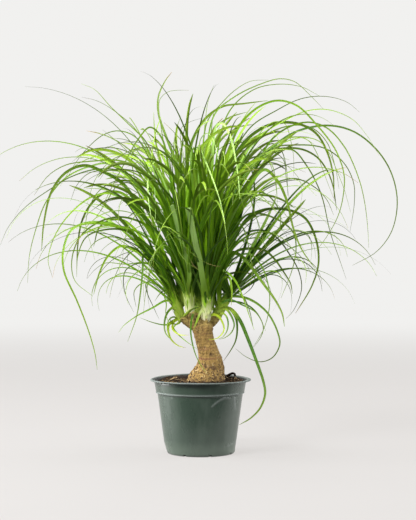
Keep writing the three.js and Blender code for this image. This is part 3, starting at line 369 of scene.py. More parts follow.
class Graph:
    """A node tree under construction."""

    def __init__(self, tree: bpy.types.NodeTree) -> None:
        """Keeps the tree."""
        self.tree = tree

    def node(self, kind: str, settings: dict | None = None, values: dict | None = None,
             out: str | int = 0) -> Wire:
        """Adds one node.

        Args:
            kind: the node's type.
            settings: the node's own options, and "stops" for a ramp.
            values: what its input sockets get, by name or number: a value or a wire.
            out: which output to hand back.

        Returns:
            The wire of that output.
        """
        made = self.tree.nodes.new(kind)
        for name, value in (settings or {}).items():
            if name == "stops":
                self._set_stops(made.color_ramp, value)
            else:
                setattr(made, name, value)
        for name, value in (values or {}).items():
            self.feed(made.inputs[name], value)
        return Wire(self, made.outputs[out])

    def end(self, kind: str, result: Wire) -> None:
        """Adds the tree's output node and links the result to it."""
        self.feed(self.tree.nodes.new(kind).inputs[0], result)

    def feed(self, socket: bpy.types.NodeSocket, value: object) -> None:
        """Links a wire to a socket, or sets the socket's value.

        Args:
            socket: an input socket.
            value: a wire, a plain value, or None to leave it be.
        """
        if isinstance(value, Wire):
            self.tree.links.new(value.socket, socket)
        elif value is not None:
            if socket.type == "RGBA" and len(value) == 3:
                value = (*value, 1.0)
            socket.default_value = value

    @staticmethod
    def _set_stops(ramp: bpy.types.ColorRamp, stops: Sequence[tuple]) -> None:
        """Sets a ramp's stops, each a place and a colour.

        Args:
            ramp: the ramp.
            stops: its stops, in order.
        """
        while len(ramp.elements) < len(stops):
            ramp.elements.new(1.0)
        for element, (place, colour) in zip(ramp.elements, stops):
            element.position = place
            element.color = (*colour, 1.0)

    def sum_of(self, operation: str, *terms: object) -> Wire:
        """Adds one Math node for an operation on values."""
        return self.node("ShaderNodeMath", {"operation": operation}, dict(enumerate(terms)))

    def mix(self, first: object, *layers: tuple) -> Wire:
        """Lays colours over a first one.

        Args:
            first: the lowest colour.
            layers: each colour above it, as the share that covers what is below, and the colour.

        Returns:
            The wire of the mixed colour.
        """
        for share, colour in layers:
            first = self.node("ShaderNodeMix", {"data_type": "RGBA"}, {0: share, 6: first, 7: colour}, out=2)
        return first

    def ramp(self, value: Wire, stops: Sequence[tuple]) -> Wire:
        """Colour ramp over a value, with its stops as places and colours."""
        return self.node("ShaderNodeValToRGB", {"stops": stops}, {"Fac": value})

    def attribute(self, name: str) -> Wire:
        """Value of a named attribute of the piece's own mesh, in a material."""
        return self.node("ShaderNodeAttribute", {"attribute_name": name}, out="Fac")

    def axis(self, vector: Wire, letter: str) -> Wire:
        """One part of a vector, by its letter."""
        return self.node("ShaderNodeSeparateXYZ", None, {0: vector}, letter)

    def vector(self, operation: str, values: dict, out: str | int = 0) -> Wire:
        """Adds one Vector Math node."""
        return self.node("ShaderNodeVectorMath", {"operation": operation}, values, out)

    def place(self, scale: Sequence[float] = (1, 1, 1)) -> Wire:
        """Object coordinates, stretched along the axes."""
        coords = self.node("ShaderNodeTexCoord", out="Object")
        return self.node("ShaderNodeMapping", None, {"Vector": coords, "Scale": scale})

    def clouds(self, vector: Wire, scale: float, detail: float = 4.0, rough: float = 0.55) -> Wire:
        """Noise from 0 to 1 over a vector, with its scale per metre."""
        values = {"Vector": vector, "Scale": scale, "Detail": detail, "Roughness": rough}
        return self.node("ShaderNodeTexNoise", None, values)

    def cells(self, vector: Wire, scale: float, feature: str) -> Wire:
        """Cell pattern over a vector, with its scale per metre."""
        values = {"Vector": vector, "Scale": scale}
        return self.node("ShaderNodeTexVoronoi", {"feature": feature}, values, "Distance")

    def named(self, name: str, kind: str) -> Wire:
        """Named attribute of a kind, in Geometry Nodes."""
        return self.node("GeometryNodeInputNamedAttribute", {"data_type": kind}, {"Name": name})

    def stored(self, geometry: Wire, name: str, value: Wire, domain: str = "POINT") -> Wire:
        """Geometry with a value stored on it."""
        return self.node("GeometryNodeStoreNamedAttribute", {"data_type": "FLOAT", "domain": domain},
                         {"Geometry": geometry, "Name": name, "Value": value})

    def random(self, seed: Wire, least: object, most: object) -> Wire:
        """Draw between two values, or between two vectors.

        Args:
            seed: seed of the draws.
            least: lowest value.
            most: highest value.

        Returns:
            A wire of the draws.
        """
        if isinstance(least, tuple):
            settings, values, out = {"data_type": "FLOAT_VECTOR"}, {0: least, 1: most, 8: seed}, 0
        else:
            settings, values, out = {"data_type": "FLOAT"}, {2: least, 3: most, 8: seed}, 1
        return self.node("FunctionNodeRandomValue", settings, values, out)

    def give(self, geometry: Wire, finish: "Finish") -> None:
        """Ends a Geometry Nodes tree with a geometry in one material.

        Args:
            geometry: what the tree has made.
            finish: its material.
        """
        geometry = self.node("GeometryNodeRealizeInstances", None, {"Geometry": geometry})
        values = {"Geometry": geometry, "Material": finish.made()}
        self.end("NodeGroupOutput", self.node("GeometryNodeSetMaterial", None, values))

    def bump(self, height: Wire, depth: float, strength: float) -> Wire:
        """Bump from a height, with its depth in metres."""
        values = {"Height": height, "Distance": depth, "Strength": strength}
        return self.node("ShaderNodeBump", None, values)


class Finish:
    """A material with its own node tree."""

    name = "finish"

    def made(self) -> bpy.types.Material:
        """Makes the material, once.

        Returns:
            The material of this name.
        """
        found = bpy.data.materials.get(self.name)
        if found is not None:
            return found
        material = bpy.data.materials.new(self.name)
        material.use_nodes = True
        graph = Graph(material.node_tree)
        material.node_tree.nodes.clear()
        shader = graph.node("ShaderNodeBsdfPrincipled", None, self.dress(graph))
        graph.end("ShaderNodeOutputMaterial", shader)
        return material

    def cover(self, piece: bpy.types.Object) -> bpy.types.Object:
        """Gives a piece this material alone.

        Args:
            piece: the piece.

        Returns:
            The same piece.
        """
        piece.data.materials.clear()
        piece.data.materials.append(self.made())
        return piece

    def dress(self, graph: Graph) -> dict[str, object]:
        """Values and wires for the shader's sockets."""
        raise NotImplementedError


@dataclass(frozen=True)
class PotPlastic(Finish):
    """Dark green moulded plastic: soft sheen, smears, dusty patches, rubbed edges, painted light and shade.
    """

    name: str = "pot_plastic_green"
    base: tuple = (0.030, 0.052, 0.035)
    # Dust colour, also laid towards the foot as painted light from the bright floor.
    dust_and_foot_glow: tuple = (0.10, 0.134, 0.10)
    # Rubbed rim colour, also the painted highlight of the rim's front edge, the band's step and the creases.
    edge: tuple = (0.14, 0.16, 0.15)
    # Painted shade of the inner wall.
    shade: tuple = (0.006, 0.007, 0.006)

    def dress(self, graph: Graph) -> dict[str, object]:
        """Values and wires for the shader's sockets.

        Args:
            graph: graph of the material.

        Returns:
            A value or a wire for each named socket.
        """
        place = graph.place()
        smears = graph.clouds(graph.place((1, 1, 0.22)), 55.0, 5.0, 0.6)
        blotches = graph.clouds(place, 18.0, 3.0)
        grain = graph.clouds(place, 900.0, 2.0)
        dusty = smears.smooth(0.45, 0.8) * 0.22 + blotches.smooth(0.45, 0.75) * 0.12
        # Lighter towards the foot: dust, and painted light from the bright floor.
        low = graph.axis(place, "Z").smooth(0.028, 0.010) * 0.5
        # lip holds the rim's front edge, rubbed and painted as a highlight, and painted highlights on the
        # step and creases.
        lip, inside = graph.attribute("lip"), graph.attribute("inside")
        worn_and_highlit = lip * (0.75 + 0.25 * smears)
        rise = graph.clouds(place, 26.0, 2.0) * 0.8 + grain * 0.05 + smears * 0.08
        return {
            "Base Color": graph.mix(self.base, (dusty + low, self.dust_and_foot_glow), (worn_and_highlit, self.edge),
                                    (inside * 0.9, self.shade)),
            "Roughness": 0.22 + smears * 0.12 + dusty * 0.3 + inside * 0.4 + lip * 0.75,
            "Specular IOR Level": 0.8,
            "Normal": graph.bump(rise, 0.0009, 0.35),
        }


@dataclass(frozen=True)
class PottingMix(Finish):
    """Dark damp potting mix, its crumbs and chips toned by their own attribute."""

    name: str = "potting_mix"
    bed: tuple = (
        (0.25, (0.005, 0.0032, 0.002)), (0.5, (0.017, 0.010, 0.0055)), (0.75, (0.055, 0.034, 0.019)),
    )
    chips: tuple = (
        (0.0, (0.009, 0.005, 0.003)), (0.45, (0.026, 0.014, 0.006)), (0.7, (0.11, 0.066, 0.028)),
        (0.88, (0.34, 0.24, 0.12)), (1.0, (0.52, 0.40, 0.22)),
    )
    grime: tuple = (0.03, 0.016, 0.008)

    def dress(self, graph: Graph) -> dict[str, object]:
        """Values and wires for the shader's sockets.

        Args:
            graph: graph of the material.

        Returns:
            A value or a wire for each named socket.
        """
        place = graph.place()
        fine = graph.clouds(place, 420.0, 6.0, 0.7)
        broad = graph.clouds(place, 60.0, 3.0)
        tone = graph.attribute("chip_tone")
        bed = graph.ramp(fine * 0.7 + broad * 0.3, self.bed)
        chips = graph.mix(graph.ramp(tone, self.chips), (fine * 0.6, self.grime))
        return {
            "Base Color": graph.mix(bed, (tone.smooth(0.0, 0.02), chips)),
            "Roughness": 0.98 - broad * 0.12,
            "Specular IOR Level": 0.1,
            "Normal": graph.bump(fine + broad * 0.3, 0.0016, 0.8),
        }


@dataclass(frozen=True)
class CorkBark(Finish):
    """Corky tan bark: cracks, reddish leaf scars, pale flakes, darker above the soil, painted shade in
    hollows.
    """

    name: str = "corky_bark"
    cork: tuple = (
        (0.26, (0.15, 0.078, 0.016)), (0.42, (0.27, 0.16, 0.034)), (0.56, (0.345, 0.215, 0.052)),
        (0.75, (0.47, 0.335, 0.115)),
    )
    flakes: tuple = (
        (0.2, (0.05, 0.022, 0.01)), (0.5, (0.20, 0.11, 0.04)), (0.75, (0.46, 0.31, 0.13)),
        (1.0, (0.48, 0.36, 0.16)),
    )
    crack: tuple = (0.10, 0.048, 0.016)
    scar: tuple = (0.24, 0.10, 0.045)
    # Darker just above the soil line.
    soil_line_dark: tuple = (0.05, 0.026, 0.012)
    fresh: tuple = (0.47, 0.36, 0.10)
    # Painted shade of the bark's hollows and of the gap between the stubs.
    hollow: tuple = (0.05, 0.022, 0.01)

    def dress(self, graph: Graph) -> dict[str, object]:
        """Values and wires for the shader's sockets.

        Args:
            graph: graph of the material.

        Returns:
            A value or a wire for each named socket.
        """
        place = graph.place()
        height, side = graph.axis(place, "Z"), graph.axis(place, "X")
        warp = graph.clouds(place, 90.0, 4.0)
        plates = graph.cells(graph.place((1, 1, 0.42)), 210.0, "DISTANCE_TO_EDGE")
        fibre = graph.clouds(graph.place((1, 1, 0.16)), 620.0, 5.0, 0.65)
        pits = graph.clouds(place, 1100.0, 3.0, 0.6)
        rings = graph.clouds(graph.place((0.12, 0.12, 1)), 230.0, 3.0)
        crack = plates.smooth(0.09, 0.0) * warp.smooth(0.42, 0.6)
        scar = rings.smooth(0.58, 0.68) * height.smooth(0.135, 0.15) * height.smooth(0.225, 0.2)
        band = height.smooth(0.1535, 0.1545) * height.smooth(0.1595, 0.1575) * warp.smooth(0.36, 0.55)
        band = band * side.smooth(0.018, 0.012)
        soil_line_dark = height.smooth(0.128, 0.117)
        flake = graph.attribute("chip_tone")
        rise = fibre * 0.5 + plates.smooth(0.0, 0.12) * 0.3 + pits * 0.2
        return {
            "Base Color": graph.mix(
                graph.ramp(fibre * 0.6 + warp * 0.4, self.cork),
                (crack * 0.6, self.crack),
                (scar * 0.6 + band * 0.3, self.scar),
                (soil_line_dark * 0.55, self.soil_line_dark),
                (graph.attribute("fresh") * 0.75, self.fresh),
                (graph.attribute("hollow") * 0.8, self.hollow),
                (flake.smooth(0.0, 0.02) * 0.85, graph.ramp(flake, self.flakes)),
            ),
            "Roughness": 0.78 + warp * 0.2,
            "Normal": graph.bump(rise, 0.0009, 0.6),
        }


@dataclass(frozen=True)
class StrapLeaf(Finish):
    """Satin strap leaf: pale at its base, green along its run, some tips dry and brown, some pale with
    painted light.
    """

    name: str = "strap_leaf"
    pale: tuple = (0.93, 0.88, 0.58)
    light: tuple = (0.29, 0.55, 0.010)
    deep: tuple = (0.018, 0.092, 0.0006)
    under: tuple = (0.036, 0.112, 0.003)
    ripe: tuple = (0.20, 0.27, 0.022)
    dry: tuple = (0.17, 0.11, 0.05)
    brown: tuple = (0.42, 0.27, 0.12)
    rib: tuple = (0.40, 0.60, 0.04)
    margin: tuple = (0.42, 0.55, 0.10)
    # Pale tip colour, brightened beyond a leaf's own as painted light.
    bleached_and_lit: tuple = (0.56, 0.84, 0.26)
    young: tuple = (0.40, 0.58, 0.045)

    def dress(self, graph: Graph) -> dict[str, object]:
        """Values and wires for the shader's sockets.

        Args:
            graph: graph of the material.

        Returns:
            A value or a wire for each named socket.
        """
        names = ("along", "across", "below", "tone", "pale", "dry", "bleach")
        along, across, below, tone, pale, dry, bleach = (graph.attribute(name) for name in names)
        places = {"X": across * 9.0 + tone * 50.0, "Y": along * 3.0}
        stripe = graph.node("ShaderNodeCombineXYZ", None, places)
        veins = graph.node("ShaderNodeTexNoise", None, {"Vector": stripe, "Scale": 2.2, "Detail": 3.0})
        patches = graph.clouds(graph.place(), 34.0, 3.0)
        share = tone * 0.62 + veins * 0.25 + patches * 0.3
        margin = across.size().smooth(0.55, 0.95) * along.smooth(0.3, 0.0)
        return {
            "Base Color": graph.mix(
                self.deep,
                (share.smooth(0.1, 0.95), self.light),
                (below * 0.55, self.under),
                (across.size().smooth(0.16, 0.0) * 0.16, self.rib),
                (margin * 0.4, self.margin),
                (along.smooth(0.35, 1.0) * 0.6, self.ripe),
                (bleach, self.bleached_and_lit),
                (pale.smooth(0.0, 0.6) * 0.8, self.young),
                (pale.smooth(0.35, 1.1), self.pale),
                (dry, graph.mix(self.dry, (patches, self.brown))),
            ),
            "Roughness": 0.32 + veins * 0.14 + dry * 0.3 + pale * 0.1,
            "Specular IOR Level": 0.2,
            "Normal": graph.bump(veins, 0.0005, 0.5),
        }


@dataclass(frozen=True)
class SpentLeaf(StrapLeaf):
    """Ageing leaf, lime turning yellow, with brown tips."""

    name: str = "ageing_leaf"
    pale: tuple = (0.62, 0.60, 0.22)
    light: tuple = (0.44, 0.54, 0.020)
    deep: tuple = (0.27, 0.40, 0.012)
    under: tuple = (0.25, 0.33, 0.020)
    ripe: tuple = (0.46, 0.50, 0.03)


@dataclass(frozen=True)
class FloorPaint(Finish):
    """Pale matt floor with the faintest mottle, lighter far off."""

    name: str = "pale_floor"
    near: tuple = (0.628, 0.604, 0.584)
    far: tuple = (0.86, 0.855, 0.84)

    def dress(self, graph: Graph) -> dict[str, object]:
        """Values and wires for the shader's sockets.

        Args:
            graph: graph of the material.

        Returns:
            A value or a wire for each named socket.
        """
        place = graph.place()
        reach = graph.vector("LENGTH", {0: place}, "Value")
        mottle = graph.clouds(place, 3.0, 2.0)
        return {
            "Base Color": graph.mix((0.072, 0.072, 0.072), (mottle, (0.08, 0.08, 0.08))),
            "Emission Color": graph.mix(self.near, (reach.smooth(0.5, 5.0), self.far)),
            "Emission Strength": 1.0,
            "Specular IOR Level": 0.0,
            "Roughness": 0.9,
        }


@dataclass(frozen=True)
class FlagCloth(Finish):
    """Black matt cloth."""

    name: str = "flag_cloth"

    def dress(self, graph: Graph) -> dict[str, object]:
        """Values and wires for the shader's sockets.

        Args:
            graph: graph of the material.

        Returns:
            A value or a wire for each named socket.
        """
        weave = graph.clouds(graph.place(), 300.0, 2.0)
        return {
            "Base Color": graph.mix((0.008, 0.008, 0.008), (weave, (0.012, 0.012, 0.012))),
            "Roughness": 0.95,
        }


# Meshes


def mesh_object(name: str, points: Sequence, edges: Sequence, faces: Sequence) -> bpy.types.Object:
    """Makes an object from points in millimetres.

    Args:
        name: name of the object and its mesh.
        points: points in millimetres.
        edges: pairs of points.
        faces: loops of points.

    Returns:
        The object, linked to the scene.
    """
    mesh = bpy.data.meshes.new(name)
    mesh.from_pydata([tuple(float(value) * MM for value in point) for point in points], edges, faces)
    mesh.update()
    made = bpy.data.objects.new(name, mesh)
    bpy.context.scene.collection.objects.link(made)
    return made


def set_attribute(mesh: bpy.types.Mesh, name: str, values: Iterable, kind: str = "FLOAT") -> None:
    """Stores one value, or one vector, for each point of a mesh.

    Args:
        mesh: the mesh.
        name: name of the attribute.
        values: one for each point.
        kind: whether they are plain values or vectors.
    """
    layer = mesh.attributes.new(name, kind, "POINT")
    flat = np.asarray(list(values), dtype=np.float32).ravel()
    layer.data.foreach_set("vector" if kind == "FLOAT_VECTOR" else "value", flat)


def even(piece: bpy.types.Object, **values: float) -> None:
    """Stores one value of each named attribute on all points of a piece."""
    for name, value in values.items():
        set_attribute(piece.data, name, [value] * len(piece.data.vertices))


def hardened(piece: bpy.types.Object, angle: float | None = None) -> bpy.types.Object:
    """Replaces a piece by the plain mesh of its modifiers, shaded smooth.

    Args:
        piece: the object with live modifiers.
        angle: edges sharper than this many degrees stay sharp.

    Returns:
        The same object, with a plain mesh and no modifiers.
    """
    bpy.context.view_layer.update()
    graph = bpy.context.evaluated_depsgraph_get()
    mesh = bpy.data.meshes.new_from_object(piece.evaluated_get(graph))
    piece.modifiers.clear()
    piece.data = mesh
    mesh.name = piece.name
    mesh.shade_smooth()
    if angle is not None:
        mesh.set_sharp_from_angle(angle=math.radians(angle))
    return piece


def finished(piece: bpy.types.Object, node: str) -> None:
    """Hands a piece over to the frame and reports it.

    Args:
        piece: the finished object.
        node: the solid that it stands for.
    """
    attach(piece, "root")
    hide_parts(node)
    piece.data.calc_loop_triangles()
    LOG.info("%s: %d triangles", piece.name, len(piece.data.loop_triangles))


def around(count: int, start: float = 0.0) -> list[tuple[float, float, float]]:
    """Angle, cosine and sine at each point of a ring, from a first angle in radians."""
    angles = [2 * math.pi * i / count + start for i in range(count)]
    return [(angle, math.cos(angle), math.sin(angle)) for angle in angles]


def ring_faces(rings: int, sides: int) -> list[tuple]:
    """Faces of a tube of rings, with its ends closed by one face each.

    Args:
        rings: how many rings.
        sides: points in each ring.

    Returns:
        Loops of points, facing out where the rings turn left about the direction of travel.
    """
    faces = [
        (low + side, low + (side + 1) % sides, low + sides + (side + 1) % sides, low + sides + side)
        for low in range(0, (rings - 1) * sides, sides) for side in range(sides)
    ]
    faces.append(tuple(reversed(range(sides))))
    faces.append(tuple(range((rings - 1) * sides, rings * sides)))
    return faces


def clamped(value: float) -> float:
    """Value held between 0 and 1."""
    return min(1.0, max(0.0, value))


def smoothed(values: Sequence[Sequence[float]], steps: int) -> np.ndarray:
    """Rows drawn smoothly through given rows, evenly spaced by the first column.

    Args:
        values: rows whose first column rises.
        steps: how many rows come back.

    Returns:
        An array of rows.
    """
    rows = np.asarray(values, float)
    keys = rows[:, 0]
    slopes = np.gradient(rows, keys, axis=0)
    wanted = np.linspace(keys[0], keys[-1], steps)
    made = []
    for key in wanted:
        i = min(int(np.searchsorted(keys, key, side="right")) - 1, len(keys) - 2)
        gap = keys[i + 1] - keys[i]
        t = (key - keys[i]) / gap
        a, b = 2 * t**3 - 3 * t**2 + 1, t**3 - 2 * t**2 + t
        c, d = 3 * t**2 - 2 * t**3, t**3 - t**2
        made.append(a * rows[i] + b * gap * slopes[i] + c * rows[i + 1] + d * gap * slopes[i + 1])
    return np.array(made)


class Drawing:
    """Seeded draws from 0 to 1, the same as the part's own."""

    def __init__(self, seed: int) -> None:
        """Starts from a seed."""
        self.state = seed & 0xFFFFFFFF

    def __call__(self) -> float:
        """Next draw.

        Returns:
            A value from 0 to 1.
        """
        self.state = (self.state + 0x6D2B79F5) & 0xFFFFFFFF
        mix = ((self.state ^ (self.state >> 15)) * (1 | self.state)) & 0xFFFFFFFF
        other = ((mix ^ (mix >> 7)) * (61 | mix)) & 0xFFFFFFFF
        mix = ((mix + other) & 0xFFFFFFFF) ^ mix
        return ((mix ^ (mix >> 14)) & 0xFFFFFFFF) / 4294967296

    def between(self, low: float, high: float) -> float:
        """Draw between two values."""
        return low + (high - low) * self()


def unit(vector: np.ndarray) -> np.ndarray:
    """Vector of length 1."""
    return vector / max(1e-12, float(np.linalg.norm(vector)))


def turned(vector: np.ndarray, axis: np.ndarray, angle: float) -> np.ndarray:
    """Vector turned about a unit axis by an angle in radians."""
    cos, sin = math.cos(angle), math.sin(angle)
    return vector * cos + np.cross(axis, vector) * sin + axis * float(np.dot(axis, vector)) * (1 - cos)


def spaced_curve(points: Sequence[np.ndarray], steps: int) -> np.ndarray:
    """Evenly spaced points along a centripetal curve through given points.

    Args:
        points: the points that the curve passes through.
        steps: how many equal steps along its length.

    Returns:
        An array of steps + 1 points.
    """
    count = len(points)

    def at(t: float) -> np.ndarray:
        """Point of the curve at a share of its spans.

        Args:
            t: the share, from 0 to 1.

        Returns:
            The point.
        """
        place = (count - 1) * t
        i = min(int(place), count - 2)
        w = place - i
        p1, p2 = points[i], points[i + 1]
        p0 = points[i - 1] if i > 0 else 2 * p1 - p2
        p3 = points[i + 2] if i + 2 < count else 2 * p2 - p1
        spans = ((p0, p1), (p1, p2), (p2, p3))
        d0, d1, d2 = (max(1e-4, float(np.dot(b - a, b - a)) ** 0.25) for a, b in spans)
        m1 = ((p1 - p0) / d0 - (p2 - p0) / (d0 + d1) + (p2 - p1) / d1) * d1
        m2 = ((p2 - p1) / d1 - (p3 - p1) / (d1 + d2) + (p3 - p2) / d2) * d1
        return p1 + m1 * w + (-3 * p1 + 3 * p2 - 2 * m1 - m2) * w**2 + (2 * p1 - 2 * p2 + m1 + m2) * w**3

    shares = np.linspace(0, 1, 201)
    samples = np.array([at(t) for t in shares])
    lengths = np.concatenate([[0], np.cumsum(np.linalg.norm(np.diff(samples, axis=0), axis=1))])
    wanted = np.interp(np.linspace(0, lengths[-1], steps + 1), lengths, shares)
    return np.array([at(t) for t in wanted])


# Leaves


@dataclass
class Course:
    """One leaf's run: its points, its width and how it turns and ends.

    Runs are shares of the length, but for pale_run, which is a share of the foliage's pale_length.
    """

    points: np.ndarray
    width: float
    out: np.ndarray
    roll: float
    twist: float
    tone: float
    tip: Tip = Tip.POINTED
    pale_run: float = 0.1
    dry_run: float = 0.0
    facing: bool = False
    taper: float = 0.6
    bleach: float = 0.0

    def stations(self, turn: float, run: float) -> list[int]:
        """Picks points, closer together where the leaf bends.

        Args:
            turn: radians of bend for each pick.
            run: millimetres of straight run for each pick.

        Returns:
            Indices of the picked points, from root to tip.
        """
        steps = np.diff(self.points, axis=0)
        sizes = np.linalg.norm(steps, axis=1)
        rays = steps / sizes[:, None]
        bends = np.arccos(np.clip(np.sum(rays[1:] * rays[:-1], axis=1), -1, 1))
        reach = np.concatenate([[0], np.cumsum(np.concatenate([bends, [0]]) / turn + sizes / run)])
        count = max(6, math.ceil(reach[-1]))
        picks = np.searchsorted(reach, np.linspace(0, reach[-1], count + 1) - 1e-9)
        return sorted(set(int(pick) for pick in np.clip(picks, 0, len(self.points) - 1)))

    def width_at(self, along: float) -> float:
        """Width of the blade at a share of its length.

        Args:
            along: the share, from the root.

        Returns:
            The width in millimetres.
        """
        root, root_run, tip, blunt_run, blunt_tip = 0.45, 0.14, 0.07, 0.3, 0.04
        width = self.width * (root + (1 - root) * min(1.0, along / root_run))
        if self.tip is Tip.CUT:
            return width
        if self.tip is Tip.BLUNT:
            return width * min(1.0, max(blunt_tip, (1 - along) / blunt_run)) ** 0.6
        return width * (tip + (1 - tip) * (1 - along) ** self.taper)

    def frames(self) -> list[np.ndarray]:
        """Direction across the blade at every point.

        Returns:
            A unit vector for each point.
        """
        ahead = np.vstack([self.points[1:], self.points[-1:]])
        behind = np.vstack([self.points[:1], self.points[:-1]])
        tangents = [unit(ray) for ray in ahead - behind]
        side = unit(np.cross(tangents[0], self.out))
        if self.facing:
            side = unit(np.cross(tangents[0], AWAY))
        across = []
        last = len(self.points) - 1
        for i, tangent in enumerate(tangents):
            if self.facing:
                broad = np.cross(tangent, AWAY)
                side = side + broad * (0.25 if float(np.dot(broad, side)) >= 0 else -0.25)
            side = unit(side - tangent * float(np.dot(side, tangent)))
            along = i / last
            across.append(turned(side, tangent, self.roll * min(1.0, along * 4) + self.twist * along))
        return across


@dataclass
class Head:
    """A tuft of leaves: where it stands, which way it points, and what grows from it.

    Bearings are in degrees. The count is of arching leaves grown by the rule, and inner is the number
    of nearly upright ones. Length and width are the spans that the arching leaves are drawn from.
    """

    name: str
    base: tuple[float, float, float]
    axis: tuple[float, float, float]
    radius: float
    seed: int
    count: int
    bearing: tuple[float, float]
    length: tuple[float, float]
    width: tuple[float, float]
    inner: int
    tone: tuple[float, float]
    finish: StrapLeaf

    def heading(self) -> np.ndarray:
        """Unit direction that the head points in."""
        return unit(np.array(self.axis, float))

    def traced(self, row: tuple, seed: int) -> Course:
        """Course of a leaf that shows from the front, set back along its lines of sight.

        Args:
            row: its width, the depth of its tip, its course as x, z pairs, and how it ends and starts.
            seed: seed of its draws.

        Returns:
            The course.
        """
        width, depth, flat, *options = row
        low = Root.LOW in options
        draw = Drawing(seed)
        side = -1 if draw() < 0.5 else 1
        roll, twist = side * draw.between(0.05, 0.5), (draw() - 0.5) * 0.9
        base, axis = np.array(self.base, float), self.heading()
        pairs = [np.array(pair, float) for pair in zip(flat[::2], flat[1::2])]
        farthest = pairs[math.ceil(len(pairs) * 0.6)][0]
        out = unit(np.array([farthest - base[0], depth * 0.8, 0]))
        height = 3.0 if low else draw.between(9, 17)
        points = [base + axis * height + out * self.radius * (0.7 if low else 0.6)]
        if pairs[0][1] - base[2] > 55:
            points.append(base + axis * (height + 24) + out * self.radius)
        before = [base[[0, 2]], *pairs]
        runs = np.cumsum([float(np.linalg.norm(pair - last)) for last, pair in zip(before, pairs)])
        for (x, z), run in zip(pairs, runs):
            y = base[1] + (depth - base[1]) * (run / runs[-1]) ** 1.1
            scale = (VIEW_DISTANCE + y) / VIEW_DISTANCE
            points.append(np.array([VIEW_X + (x - VIEW_X) * scale, y, VIEW_Z + (z - VIEW_Z) * scale]))
        tip = next((option for option in options if isinstance(option, Tip)), Tip.POINTED)
        dry_run = 0.1 if tip is Tip.DRY else max(0.0, draw() - 0.7) * 0.25
        own = (0.0 if tip is Tip.CUT else draw.between(*self.tone) * (0.6 if width < THIN else 0.9), 0.0)
        tone, bleach = next((option.value for option in options if isinstance(option, Hue)), own)
        return Course(spaced_curve(points, COURSE_STEPS), width, out, roll, twist, tone, tip,
                      0.06 + 0.07 * draw(), dry_run, True, 0.8 if width < 6.5 else 0.55, bleach)

    def arch(self, point: np.ndarray, bearing: float, length: float, steps: int, bend: tuple,
             swerve: float) -> list[np.ndarray]:
        """Points of a leaf that leaves the head, bends over and swerves.

        Args:
            point: where it starts.
            bearing: which way it leans, in radians.
            length: how long it is, in millimetres.
            steps: how many equal steps it is walked in.
            bend: its lean, how soon it has it, its further turn and the power that delays it.
            swerve: radians that it turns about the vertical.

        Returns:
            steps + 1 points.
        """
        lean, haste, turn, power = bend
        axis = self.heading()
        hinge = unit(np.cross(axis, np.array([math.cos(bearing), math.sin(bearing), 0])))
        points = []
        for i in range(steps + 1):
            along = i / steps
            points.append(point.copy())
            angle = lean * min(1.0, along * haste) + turn * along**power
            heading = turned(turned(axis, hinge, angle), UP, swerve * along * along)
            point = point + heading * length / steps
        return points

    def grown(self, index: int) -> Course:
        """Course of a leaf that rises, arches over and hangs.

        Args:
            index: which of the head's grown leaves.

        Returns:
            The course.
        """
        draw = Drawing(self.seed + GROWN_SEED + index)
        side = -1 if draw() < 0.5 else 1
        roll, twist = side * draw.between(0.5, 1.15), (draw() - 0.5) * 2.2
        rank = (index + 0.5) / self.count
        share = (index * GOLDEN_SHARE) % 1
        bearing = math.radians(self.bearing[0] + (self.bearing[1] - self.bearing[0]) * share)
        lean = 0.05 + 0.42 * rank + 0.12 * draw()
        turn = draw.between(1.3, 2.5) + 0.5 * rank
        length = draw.between(*self.length) * (1 - 0.25 * rank)
        width = draw.between(*self.width) * 0.86
        swerve = (draw() - 0.5) * 0.9
        out = np.array([math.cos(bearing), math.sin(bearing), 0])
        foot = np.array(self.base) + self.heading() * (10 + 20 * (1 - rank))
        foot = foot + out * self.radius * (0.25 + 0.5 * rank)
        points = self.arch(foot, bearing, length, 48, (lean, 8, turn, 1.9), swerve)
        return Course(
            spaced_curve(points[::3], COURSE_STEPS), width, out, roll, twist, draw.between(*self.tone) * 0.65,
            pale_run=0.04 + 0.05 * draw(), dry_run=max(0.0, draw() - 0.7) * 0.3, taper=1.0,
        )

    def filled(self, index: int) -> Course:
        """Course of an inner leaf that stands nearly upright and bends over only near its tip.

        Args:
            index: which of the head's inner leaves.

        Returns:
            The course.
        """
        draw = Drawing(self.seed + INNER_SEED + index)
        rank = (index + 0.5) / self.inner
        bearing = 2 * math.pi * ((index * GOLDEN_SHARE) % 1)
        lean = 0.03 + 0.3 * rank + 0.06 * draw()
        turn, power = draw.between(0.7, 2.1), draw.between(2.2, 3.4)
        length = draw.between(250, 375) * (1.0 if lean > 0.12 else 0.95)
        swerve = (draw() - 0.5) * 1.2
        out = np.array([math.cos(bearing), math.sin(bearing), 0])
        foot = np.array(self.base) + self.heading() * (14 + 16 * draw()) + out * self.radius * 0.5 * draw()
        points = self.arch(foot, bearing, length, 32, (lean, 6, turn, power), swerve)
        return Course(
            spaced_curve(points[::2], INNER_STEPS), draw.between(7, 10.5), out,
            (1 if draw() < 0.5 else -1) * draw.between(0.2, 1.3), (draw() - 0.5) * 2.0,
            draw.between(*self.tone) * 1.1 + 0.12, pale_run=0.05 + 0.08 * draw(),
            dry_run=max(0.0, draw() - 0.75) * 0.3, taper=0.36,
        )

